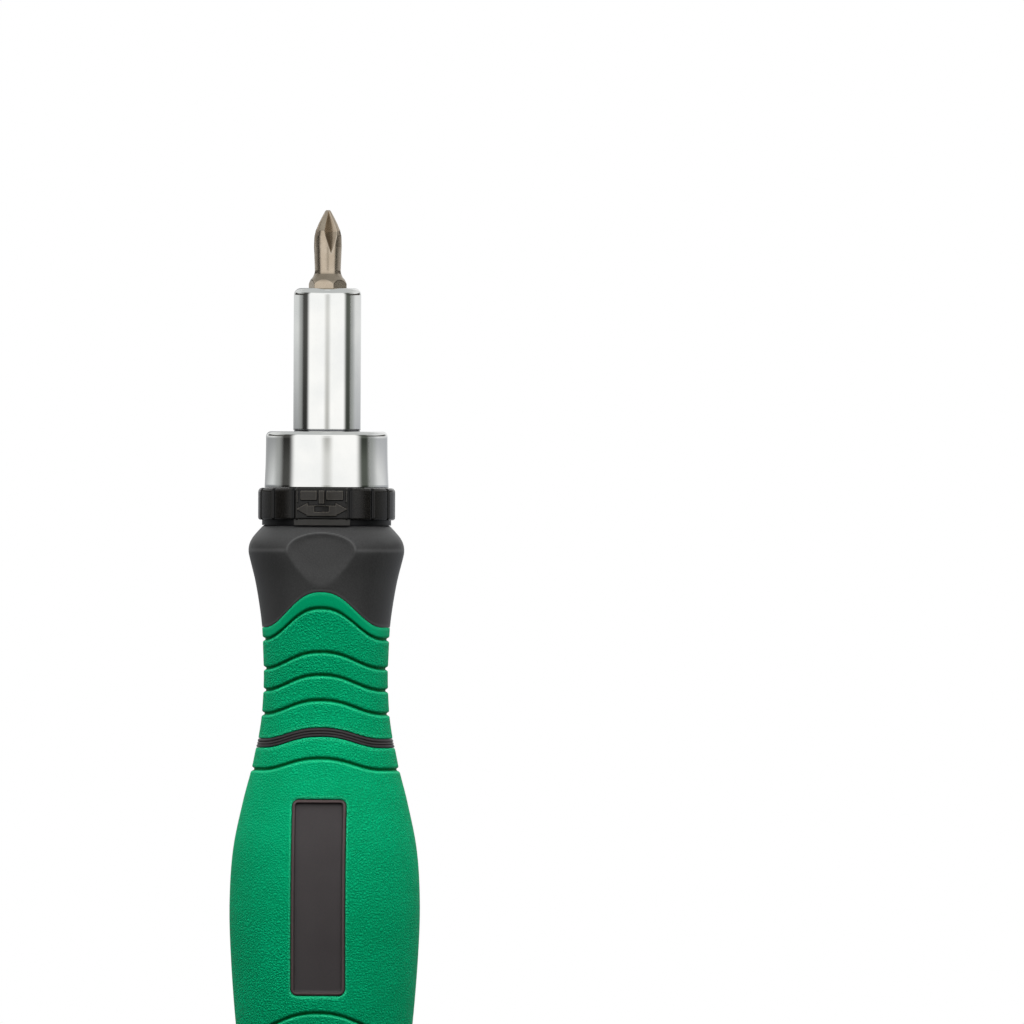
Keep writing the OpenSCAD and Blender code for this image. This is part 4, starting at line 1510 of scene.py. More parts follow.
@dataclass
class SelectorRing:
    """The ring that reverses the ratchet: grip grooves at both sides, and a raised sign on its two panels.

    Attributes:
        finish: Material of the ring.
        radius: Outer radius.
        bore_r: Radius of the bore.
        foot_z: Height of its foot.
        height: Height of the ring without its rim.
        panel_half: Half the angle of a panel in degrees.
        groove_half: Half the angle round a groove that has fine columns, in degrees.
        grooves: Number of grooves between two panels, with the ones at the panels' edges.
        groove_r: Radius of a groove's section.
        relief: Height of the sign.
        relief_edge: Width of the sign's sides.
        rim_rise: Height of the rim on the upper face.
        rim_w: Width of that rim.
        skirt_drop: How far the outside reaches below the foot.
        round_low: Radius of the lower outer edge.
        round_high: Radius of the upper outer edge.
        side_rows: Rows up the outside.
        sign_scale: Stretch of the sign across the panel.
        sign_corner: Radius of the sign's corners.
        shaft, slot, stem, square, bar: Boxes of the sign: middle across and up, half width and half height.
        head: Corners of the right arrowhead.
    """
    finish: bpy.types.Material
    radius: float = 12.8
    bore_r: float = 10.5
    foot_z: float = 122.35
    height: float = 5.6
    panel_half: float = 25.0
    groove_half: float = 3.2
    grooves: int = 7
    groove_r: float = 0.55
    relief: float = 0.32
    relief_edge: float = 0.14
    rim_rise: float = 0.12
    rim_w: float = 0.95
    skirt_drop: float = 0.28
    round_low: float = 0.5
    round_high: float = 0.8
    side_rows: int = 70
    sign_scale: float = 1.07
    sign_corner: float = 0.1
    shaft: tuple[float, ...] = (0.0, 1.45, 2.7, 1.0)
    slot: tuple[float, ...] = (0.0, 1.75, 1.25, 0.5)
    stem: tuple[float, ...] = (0.0, 4.0, 0.52, 1.25)
    square: tuple[float, ...] = (2.33, 4.32, 1.52, 0.88)
    bar: tuple[float, ...] = (4.5, 4.1, 0.14, 1.1)
    head: Table = ((4.7, 1.75), (2.4, 2.98), (2.4, 0.52))

    def angles(self) -> np.ndarray:
        """Columns round the ring: fine in the panels and across each groove, coarse between grooves.

        Returns:
            Angles in radians.
        """
        pitch = (180 - 2 * self.panel_half) / (self.grooves - 1)
        half = self.groove_half
        parts = []
        for side in (-90.0, 90.0):
            parts.append(spread(side - self.panel_half + half, side + self.panel_half - half, 0.36))
            first = side + self.panel_half
            for number in range(self.grooves):
                middle = first + pitch * number
                parts.append(spread(middle - half, middle + half, 0.45))
                if number < self.grooves - 1:
                    parts.append(spread(middle + half, middle + pitch - half, 2.5))
        return np.radians(np.concatenate(parts))

    def groove_depth(self, angles: np.ndarray) -> np.ndarray:
        """Depth of the round grooves: how far each circle, centred a third of its radius outside the ring,
        reaches in along the angle, with softened shoulders.

        Args:
            angles: Angles in radians.

        Returns:
            Depth at each angle.
        """
        pitch = math.radians((180 - 2 * self.panel_half) / (self.grooves - 1))
        middle_r = self.radius + self.groove_r / 3
        depth = np.zeros_like(angles)
        for side in (-90.0, 90.0):
            first = math.radians(side + self.panel_half)
            for number in range(self.grooves):
                off = from_nearest(angles - first, pitch * number, TURN)
                inside = self.groove_r ** 2 - (middle_r * np.sin(off)) ** 2
                reach = middle_r * np.cos(off) - np.sqrt(np.maximum(inside, 0))
                cut = np.where((inside > 0) & (np.abs(off) < 0.2), self.radius - reach, 0.0)
                depth = np.maximum(depth, -soft_least(-np.maximum(cut, 0), np.zeros_like(cut), 0.06))
        return np.maximum(depth - 0.015, 0)

    def sign(self, u: np.ndarray, v: np.ndarray) -> np.ndarray:
        """Signed distance to the raised sign on a panel: a double arrow, a stem on it and two squares.

        Args:
            u: Place across the panel from its middle.
            v: Place up the panel from the ring's foot.

        Returns:
            Distance, negative on the sign.
        """
        u = u / self.sign_scale
        boxes = [self.shaft, self.slot, self.stem, self.square, self.bar]
        boxes += [(-x, *rest) for x, *rest in (self.square, self.bar)]
        shaft, slot, *parts = (box_distance(u - x, v - y, half_x, half_y, self.sign_corner)
                               for x, y, half_x, half_y in boxes)
        parts.append(np.maximum(shaft, -slot))
        parts.append(polygon_distance(self.head, u, v))
        parts.append(polygon_distance([(-x, y) for x, y in reversed(self.head)], u, v))
        return np.min(parts, 0) * self.sign_scale

    def build(self) -> bpy.types.Object:
        """Builds the ring: rings of points up the outside, over the top, down the bore and under the foot.

        Returns:
            The piece.
        """
        angles = self.angles()
        head_z = self.foot_z + self.height
        round_low, round_high = self.round_low, self.round_high
        rim_z, rim_r = head_z + self.rim_rise, self.radius - self.rim_w
        skirt_z = self.foot_z - self.skirt_drop
        side_z = np.linspace(skirt_z + round_low, rim_z - round_high, self.side_rows)
        outside = np.vstack([
            [[self.radius - round_low - 0.1, self.foot_z], [self.radius - round_low - 0.06, skirt_z + 0.05]],
            arc(self.radius - round_low, skirt_z + round_low, round_low, -85, 0, 8)[:-1],
            np.stack([np.full(self.side_rows, self.radius), side_z], -1),
            arc(self.radius - round_high, rim_z - round_high, round_high, 0, 90, 9)[1:],
            [[rim_r + self.rim_rise, rim_z], [rim_r, head_z], [rim_r - 0.04, head_z],
             [self.bore_r + 0.15, head_z]]])
        inside = np.array([[self.bore_r + 0.02, head_z - 0.05], [self.bore_r, head_z - 0.2],
                           [self.bore_r, self.foot_z + 0.2], [self.bore_r + 0.02, self.foot_z + 0.05],
                           [self.bore_r + 0.15, self.foot_z]])
        path = np.vstack([outside, inside])
        out = np.arange(len(path)) < len(outside)
        near_edge = smooth_step((path[:, 0] - self.radius + 1.0) / 0.5) * out
        groove = self.groove_depth(angles)
        facing = np.where(angles < 0, -math.pi / 2, math.pi / 2)
        off = from_nearest(angles, facing, TURN)
        u = np.broadcast_to(off * self.radius, (len(path), len(angles)))
        v = np.broadcast_to((path[:, 1] - self.foot_z)[:, None], u.shape)
        half = math.radians(self.panel_half - self.groove_half - 0.2) * self.radius
        in_panel = smooth_step((half - np.abs(u)) / 0.15)
        sign = self.sign(u, v)
        low = in_panel * smooth_step(sign / self.relief_edge + 0.5)
        lines = smooth_step(1 - np.abs(np.abs(u) - half - 0.32) / 0.16) * 0.5
        cut = np.maximum(self.relief * low, self.relief * lines) * near_edge[:, None]
        radii = path[:, :1] - groove[None, :] * near_edge[:, None] - cut
        grid = turned_grid(radii, path[:, 1], angles)
        # Painted highlights on the sign's edges and, fainter, over its face.
        raised = in_panel * smooth_step(1 - np.abs(sign + 0.1) / 0.16)
        face = in_panel * (1 - low) * 0.28
        outline = in_panel * smooth_step(1 - np.abs(sign - 0.12) / 0.2)
        # Painted shade in the sign's outlines, on the panel's ground, in the lines beside the panel and in
        # the grip grooves.
        sunk = np.maximum.reduce([in_panel * low * 0.25, outline, lines * 1.6,
                                  np.broadcast_to(smooth_step(groove / 0.25), lines.shape)])
        marks = {"edge": np.clip((raised * 0.5 + face) * near_edge[:, None], 0, 1).ravel(),
                 "groove": np.clip(sunk * near_edge[:, None], 0, 1).ravel()}
        surface = Surface(grid.reshape(-1, 3), lattice(*grid.shape[:2], wrap_rows=True), marks=marks)
        return surface.piece("selector_sign_ring", self.finish, 60, weighted=False)


# Barrel

@dataclass
class Barrel:
    """The chromed barrel and its flange, turned in one, with the hex socket in its mouth.

    Attributes:
        finish: Material of the barrel.
        foot_z: Height of the flange's foot.
        flange_top: Height of its upper face.
        mouth_z: Height of the barrel's mouth.
        flange_r: Radius of the flange at its upper edge.
        flare: How much wider it is at its foot.
        barrel_r: Radius of the barrel.
        mouth_round: Radius of the rounded mouth.
        top_round: Radius of the flange's upper edge.
        foot_round: Radius of its lower edge.
        line_z: Height of the fine turned line above the flange.
        line_d: Depth of that line.
        socket_apothem: Half the width of the socket across its flats.
        socket_z: Height of its floor.
        socket_soft: Radius that the hexagon is cut down to at the floor.
        chamfer_r: Radius of the socket's chamfer at the mouth, past the hexagon's corners.
        magnet_r: Radius of the magnet's seat.
        magnet_z: Height of its floor.
        web_z: Height of the web's lower side.
        bore_r: Radius of the spindle's bore.
        recess_r: Radius of the washer's recess.
        recess_top: Height of its roof.
        hole_r: Radius of the innermost ring of a closed end.
        bit_turn: Turn of the socket and its bit about the axis in degrees.
        bit_z: Height of the fitted bit's foot.
        columns: Points round it.
    """
    finish: bpy.types.Material
    foot_z: float = 128.1
    flange_top: float = 138.6
    mouth_z: float = 165.4
    flange_r: float = 11.37
    flare: float = 0.23
    barrel_r: float = 6.3
    mouth_round: float = 1.3
    top_round: float = 0.9
    foot_round: float = 0.18
    line_z: float = 0.35
    line_d: float = 0.12
    socket_apothem: float = 3.225
    socket_z: float = 154.98
    socket_soft: float = 2.9
    chamfer_r: float = 0.08
    magnet_r: float = 2.52
    magnet_z: float = 151.96
    web_z: float = 149.96
    bore_r: float = 4.02
    recess_r: float = 7.05
    recess_top: float = 128.6
    hole_r: float = 0.3
    bit_turn: float = -9.0
    bit_z: float = 155.0
    columns: int = 288

    def outside(self) -> np.ndarray:
        """Outline of the outside, from the mouth's inner edge down to the washer's recess.

        The flange's radius grows by the flare times the 2.2nd power of the share of the way down.

        Returns:
            Radius and height of each point.
        """
        mouth_round, top_round, foot_round = self.mouth_round, self.top_round, self.foot_round
        side_z = np.linspace(self.flange_top - top_round, self.foot_z + foot_round, 24)
        share = (side_z - side_z[0]) / (side_z[-1] - side_z[0])
        flange = np.stack([self.flange_r + self.flare * share ** 2.2, side_z], -1)
        mouth = arc(self.barrel_r - mouth_round, self.mouth_z - mouth_round, mouth_round, 90, 0, 14)
        line, line_r = self.flange_top + self.line_z, self.barrel_r - self.line_d
        tube_z = np.linspace(self.mouth_z - mouth_round - 0.2, line + 0.2, 30)
        tube = np.stack([np.full(len(tube_z), self.barrel_r), tube_z], -1)
        root = np.array([[self.barrel_r, line], [self.barrel_r - 0.04, line - 0.06],
                         [line_r, line - 0.14], [line_r, self.flange_top + 0.06],
                         [self.barrel_r - 0.02, self.flange_top], [self.barrel_r + 0.3, self.flange_top]])
        shoulder = arc(self.flange_r - top_round, self.flange_top - top_round, top_round, 90, 0, 10)
        foot_r = self.flange_r + self.flare
        foot = arc(foot_r - foot_round, self.foot_z + foot_round, foot_round, 0, -90, 5)
        land = np.array([[8.5, self.flange_top], [9.5, self.flange_top], [10.2, self.flange_top]])
        return np.vstack([mouth, tube, root, land, shoulder, flange[1:-1], foot,
                          [[foot_r - 1.0, self.foot_z], [self.recess_r + 0.1, self.foot_z]]])

    def build(self) -> bpy.types.Object:
        """Builds the barrel as one path of rings, from the magnet's seat up the hex socket, over the mouth
        and the outside, and up the spindle's bore to its end.

        The socket's radius is the greater of the hexagon's and of the mouth's chamfer cone.

        Returns:
            The piece.
        """
        angles = TURN * np.arange(self.columns) / self.columns + math.radians(self.bit_turn)
        hexagon = hex_radius(angles, self.socket_apothem, self.bit_turn)
        corner_r = self.socket_apothem / math.cos(math.pi / 6)
        socket_z = [self.socket_z, self.socket_z + 5, *np.linspace(self.mouth_z - 0.6, self.mouth_z, 12)]
        rows = [(self.hole_r, self.magnet_z), (self.magnet_r, self.magnet_z), (self.magnet_r, self.socket_z),
                (np.minimum(hexagon, self.socket_soft), self.socket_z)]
        rows += [(np.maximum(hexagon, corner_r + self.chamfer_r + z - self.mouth_z), z) for z in socket_z]
        rows += [(corner_r + 0.14, self.mouth_z), (4.4, self.mouth_z), *self.outside(),
                 (self.recess_r, self.foot_z + 0.1), (self.recess_r, self.recess_top),
                 (self.bore_r + 0.2, self.recess_top), (self.bore_r, self.recess_top + 0.2),
                 (self.bore_r, self.web_z), (self.hole_r, self.web_z)]
        radii = np.array([np.broadcast_to(radius, self.columns) for radius, _ in rows])
        heights = np.array([z for _, z in rows])
        grid = turned_grid(radii, heights, angles)
        near_root = (np.abs(heights - self.flange_top - 0.15) < 0.25) & (radii.max(1) < self.barrel_r + 0.1)
        # Painted shade in the fine turned line at the root.
        seam = np.repeat(near_root[:, None] * (radii.min(1) > 5)[:, None] * 1.0, self.columns, 1)
        return capped(grid, {"groove": seam}).piece("chromed_barrel", self.finish, 50)


# Bits

class Tip(Enum):
    """Driving ends of the bits."""
    CROSS = "cross"
    SLOT = "slot"
    HEX = "hex"
    STAR = "star"
    SQUARE = "square"


@dataclass(frozen=True)
class Bit:
    """A bit with a quarter-inch hex shank, a turned neck and one of five driving ends.

    Attributes:
        tip: The driving end.
        wing_r: Radius over the wings.
        columns: Points round it.
        step: Distance between rows near the tip.
        length: Length of the bit.
        across_flats: Width of the shank across its flats.
        neck_r: Radius of the neck.
        shoulder_drop: Distance from the tip to where the shank ends.
        flute_turn: Angle of the first flute in degrees.
        flute_shares: Points of a flute's bottom: height as a share, and radius in wing radii.
        neck_shares: Points of the neck: height as a share, and radius in neck radii.
        cross_shares: Points of a cross tip: height as a share, and radius in wing radii.
        slot_shares: Points of a slot tip, in neck radii.
        driver_shares: Points of the other tips, in neck radii.
        hex_r: Corner radius of a hex tip.
        square_r: Corner radius of a square tip.
        blade_half: Half the thickness of a slot tip.
        star_r: Radius of a star tip's core, on which its lobes are centred.
        lobe_r: Radius of a lobe.
        soft: Difference at which edges start to round.
    """
    tip: Tip
    wing_r: float = 2.6
    columns: int = 360
    step: float = 0.07
    length: float = 25.0
    across_flats: float = 6.35
    neck_r: float = 2.43
    shoulder_drop: float = 13.797
    flute_turn: float = -62.0
    flute_shares: Table = ((0.39, 1.02), (0.71, 0.33), (1.1, 0.1))
    neck_shares: Table = ((0.06, 1.31), (0.094, 1.14), (0.138, 1.035), (0.18, 1.0), (0.28, 1.02))
    cross_shares: Table = ((0.5, 1.0), (0.65, 0.99), (0.72, 0.92), (0.81, 0.71), (0.9, 0.46), (0.985, 0.21),
                           (1.0, 0.14))
    slot_shares: Table = ((0.6, 1.0), (1.0, 1.0))
    driver_shares: Table = ((0.68, 1.0), (0.7, 0.86), (1.0, 0.86))
    hex_r: float = 2.05
    square_r: float = 1.9
    blade_half: float = 0.5
    star_r: float = 1.3
    lobe_r: float = 0.42
    soft: float = 0.1

    def height(self, share: float | np.ndarray) -> float | np.ndarray:
        """Height of a place given as a share of the way from the shank's end to the tip."""
        return self.length + self.shoulder_drop * (share - 1)

    def profile(self, z: np.ndarray) -> np.ndarray:
        """Radius of the turned form, in straight lines between its points.

        Args:
            z: Heights.

        Returns:
            The radii.
        """
        ends = {Tip.CROSS: (self.cross_shares, self.wing_r), Tip.SLOT: (self.slot_shares, self.neck_r)}
        side, side_r = ends.get(self.tip, (self.driver_shares, self.neck_r))
        shank_r = self.across_flats / 2 / math.cos(math.pi / 6)
        points = [(0.0, shank_r - 0.5), (0.5, shank_r), (self.height(0.0), shank_r)]
        points += [(self.height(share), self.neck_r * r) for share, r in self.neck_shares]
        points += [(self.height(share), side_r * r) for share, r in side]
        heights, radii = np.array(points).T
        return np.interp(z, heights, radii)

    def collar_shade(self, z: np.ndarray) -> np.ndarray:
        """Share of painted shade in the cone between shank and neck, full between two heights."""
        foot, head = self.height(0.0) + 0.3, self.height(0.0) + 2.3
        return 0.3 * smooth_step((z - foot) / 0.4) * smooth_step((head - z) / 0.5)

    def flutes(self, angles: np.ndarray, z: np.ndarray) -> np.ndarray:
        """Radius to the four right-angled notches of a cross tip.

        A notch's bottom lies at a radius that falls towards the tip, and its walls rise at 45 degrees, so at
        an angle d from its middle the wall is at the bottom's radius over cosine d less sine d.

        Args:
            angles: Angles in radians.
            z: Heights.

        Returns:
            Radii, as rows of heights by columns of angles.
        """
        shares = np.array(self.flute_shares)
        bottom = np.interp(z, self.height(shares[:, 0]), shares[:, 1] * self.wing_r, left=9.0)
        off = from_nearest(angles, math.radians(self.flute_turn), math.pi / 2)
        spread_out = np.maximum(np.cos(off) - np.abs(np.sin(off)), 1e-3)
        return bottom[:, None] / spread_out[None, :]

    def driver(self, angles: np.ndarray) -> np.ndarray:
        """Radius of a straight driving end's outline.

        At an angle a from its middle, a star's lobe reaches r cos a plus the root of q squared less the
        square of r sin a, for a core of radius r and a lobe of radius q.

        Args:
            angles: Angles in radians.

        Returns:
            The radii.
        """
        if self.tip is Tip.SLOT:
            return np.minimum(self.blade_half / np.maximum(np.abs(np.sin(angles)), 1e-6),
                              self.wing_r / np.maximum(np.abs(np.cos(angles)), 1e-6))
        if self.tip is Tip.HEX:
            return hex_radius(angles, self.hex_r * math.cos(math.pi / 6), 0)
        if self.tip is Tip.SQUARE:
            return hex_radius(angles, self.square_r * math.cos(math.pi / 4), 0, 4)
        lobe = from_nearest(angles, 0.0, math.pi / 3)
        reach = np.sqrt(np.maximum(self.lobe_r ** 2 - (self.star_r * np.sin(lobe)) ** 2, 0))
        return np.maximum(self.star_r, np.where(np.abs(lobe) < 0.4, self.star_r * np.cos(lobe) + reach, 0))

    def surface(self, turn: float, x: float, z: float) -> Surface:
        """Builds the bit and puts it in its place.

        The radius is the softened least of the turned form, the hexagon and the tip's own outline.

        Args:
            turn: Turn about its own axis in degrees.
            x: Distance of its axis from the tool's, before the turn.
            z: Height of its foot.

        Returns:
            The surface.
        """
        shoulder = self.height(0.0)
        heights = np.concatenate([[0.0, 0.02, 0.1, 0.25, 0.5], spread(0.8, shoulder - 0.4, 1.2),
                                  spread(shoulder - 0.4, shoulder + 3.2, self.step * 1.6),
                                  spread(shoulder + 3.2, self.length - 8.4, self.step * 5),
                                  spread(self.length - 8.4, self.length, self.step), [self.length]])
        angles = TURN * np.arange(self.columns) / self.columns
        form = np.broadcast_to(self.profile(heights)[:, None], (len(heights), self.columns))
        hexagon = np.broadcast_to(hex_radius(angles, self.across_flats / 2, 0)[None, :], form.shape)
        radii = soft_least(form, hexagon, self.soft)
        # painted shade in the cone between shank and neck
        groove = self.collar_shade(heights)[:, None] * np.ones_like(radii)
        # faint painted highlight where the hexagon meets the turned form
        edge = np.clip(1 - np.abs(form - hexagon) / 0.12, 0, 1) * 0.12
        if self.tip is Tip.CROSS:
            notch = self.flutes(angles, heights)
            off = from_nearest(angles, math.radians(self.flute_turn), math.pi / 2)
            # Painted shade in the flutes, heavier on one wall of each.
            shaded_wall = smooth_step(0.5 - off / 0.12)[None, :]
            cut = smooth_step((radii - notch - 0.05) / 0.35) * (0.08 + 0.5 * shaded_wall)
            groove = np.maximum(groove, cut)
            # painted highlight along the flutes' edges
            edge = np.maximum(edge * (heights < self.length - 9)[:, None],
                              np.clip(1 - np.abs(notch - radii) / 0.1, 0, 1))
            radii = soft_least(radii, notch, self.soft * 0.7)
        else:
            start = self.length - self.shoulder_drop * 0.3
            outline = self.driver(angles)[None, :] + 6.0 * np.clip(start + 0.6 - heights, 0, 1)[:, None]
            radii = soft_least(radii, np.broadcast_to(outline, radii.shape), self.soft * 0.7)
            radii = radii * (1 - 0.12 * smooth_step((heights - self.length + 0.35) / 0.35))[:, None]
        radii[0] *= 0.96
        grid = turned_grid(radii, heights, angles)
        spin = math.radians(turn)
        about_axis = np.array([[math.cos(spin), math.sin(spin), 0.0], [-math.sin(spin), math.cos(spin), 0.0],
                               [0.0, 0.0, 1.0]])
        return capped((grid + np.array([x, 0.0, z])) @ about_axis, {"groove": groove, "edge": edge})


# Bit store in the butt

@dataclass
class BitStore:
    """The pull-out store: end cap with its plug and spigot, and five spare bits round the carrier.

    Attributes:
        form: The handle's form.
        cap_finish: Material of the cap.
        bit_finish: Material of the bits.
        cap_len: Height of the cap.
        plug_r: Radius of the plug.
        plug_top: Height of its upper end.
        ring_z: Height of the O-ring's middle.
        ring_r: Radius of the O-ring's section.
        ring_room: Room above and below it in its groove.
        spigot_r: Radius of the spigot.
        spigot_top: Height of its end.
        bevel: Size of the chamfers at the ends of plug and spigot.
        hollow_r: Radius of the shallow hollow in the butt.
        hollow_d: Depth of that hollow.
        butt_round: Radius of the butt's edge.
        hole_r: Radius of the innermost ring of a closed end.
        flutes: Number of finger flutes.
        flute_depth: Depth of a flute.
        flute_inner_r: Radius inside which there are none.
        pitch_r: Radius of the circle that the spare bits stand on.
        stored_z: Height of their feet.
    """
    form: HandleForm
    cap_finish: bpy.types.Material
    bit_finish: bpy.types.Material
    cap_len: float = 6.0
    plug_r: float = 11.4
    plug_top: float = 11.0
    ring_z: float = 8.5
    ring_r: float = 0.55
    ring_room: float = 0.1
    spigot_r: float = 2.0
    spigot_top: float = 20.0
    bevel: float = 0.4
    hollow_r: float = 7.4
    hollow_d: float = 0.35
    butt_round: float = 2.5
    hole_r: float = 0.3
    flutes: int = 40
    flute_depth: float = 0.3
    flute_inner_r: float = 12.5
    pitch_r: float = 7.5
    stored_z: float = 13.0

    def cap(self) -> bpy.types.Object:
        """Builds the end cap as one path of rings from the butt's middle to the spigot's end. Its side
        carries shallow finger flutes: a raised cosine round it, faded out towards the rounded butt.

        Returns:
            The piece.
        """
        corner_r = float(self.form.side(np.array(self.butt_round))) - self.butt_round
        side_z = np.linspace(self.butt_round, self.cap_len - 0.25, 14)[1:]
        side = np.stack([self.form.side(side_z), side_z], -1)
        rim = float(self.form.side(np.array(self.cap_len)))
        ring_low, ring_high = (self.ring_z + way * (self.ring_r + self.ring_room) for way in (-1, 1))
        ring_floor = self.plug_r - 2 * self.ring_r
        hollow_r, hollow_d, bevel = self.hollow_r, self.hollow_d, self.bevel
        outside = np.vstack([
            [[self.hole_r, hollow_d], [hollow_r - 0.9, hollow_d], [hollow_r - 0.4, hollow_d - 0.05],
             [hollow_r - 0.2, 0.05], [hollow_r, 0.0], [corner_r - 1.2, 0.0]],
            arc(corner_r, self.butt_round, self.butt_round, -90, 0, 10), side,
            [[rim - 0.04, self.cap_len - 0.1], [rim - 0.2, self.cap_len], [self.plug_r + 0.3, self.cap_len],
             [self.plug_r, self.cap_len + 0.05], [self.plug_r, ring_low], [ring_floor, ring_low],
             [ring_floor, ring_high], [self.plug_r, ring_high], [self.plug_r, self.plug_top - bevel],
             [self.plug_r - bevel, self.plug_top], [self.spigot_r + 0.3, self.plug_top],
             [self.spigot_r, self.plug_top + 0.3], [self.spigot_r, self.spigot_top - bevel],
             [self.spigot_r - bevel, self.spigot_top], [self.hole_r, self.spigot_top]]])
        columns = self.flutes * 12
        angles = TURN * np.arange(columns) / columns
        radii, heights = outside[:, 0], outside[:, 1]
        on_side = (heights < self.cap_len - 0.05) & (radii > self.flute_inner_r)
        fade = smooth_step((heights - 1.2) / 2.0) * on_side
        ripple = (1 - np.cos(self.flutes * angles)) / 2
        cut = self.flute_depth * fade[:, None] * ripple[None, :]
        grid = turned_grid(radii[:, None] - cut, heights, angles)
        edge = fade[:, None] * smooth_step(1 - ripple * 2.5)[None, :] * 0.6
        marks = {"edge": edge, "groove": np.zeros_like(cut)}
        return capped(grid, marks).piece("butt_cap", self.cap_finish, 50)

    def spare_bits(self) -> dict[str, bpy.types.Object]:
        """Builds the five spare bits, one to each slot of the carrier.

        Returns:
            CAD node name with the piece that stands for it.
        """
        pieces = {}
        for slot, tip in enumerate(Tip):
            bit = Bit(tip, wing_r=2.45 if tip is Tip.CROSS else 2.6, columns=180, step=0.14)
            surface = bit.surface(360 / len(Tip) * (slot + 0.5), self.pitch_r, self.stored_z)
            pieces[f"spare_bit_{tip.value}"] = surface.piece(f"stored_{tip.value}_bit", self.bit_finish, 45)
        return pieces


# Works that stay as the CAD made them

@dataclass
class Works:
    """The ratchet, spindle, carrier and O-ring, which keep their own solids and get their finishes.

    Attributes:
        finishes: Material of each kept node, by the node's name.
    """
    finishes: dict[str, bpy.types.Material]

    def dress(self, nodes: dict[str, bpy.types.Object]) -> None:
        """Gives each kept node its material.

        Args:
            nodes: The frame's nodes by name.
        """
        for name, finish in self.finishes.items():
            node = nodes[name]
            for slot in node.material_slots:
                slot.material = finish
            log.info("%s: finished as %s", name, finish.name)


# Studio

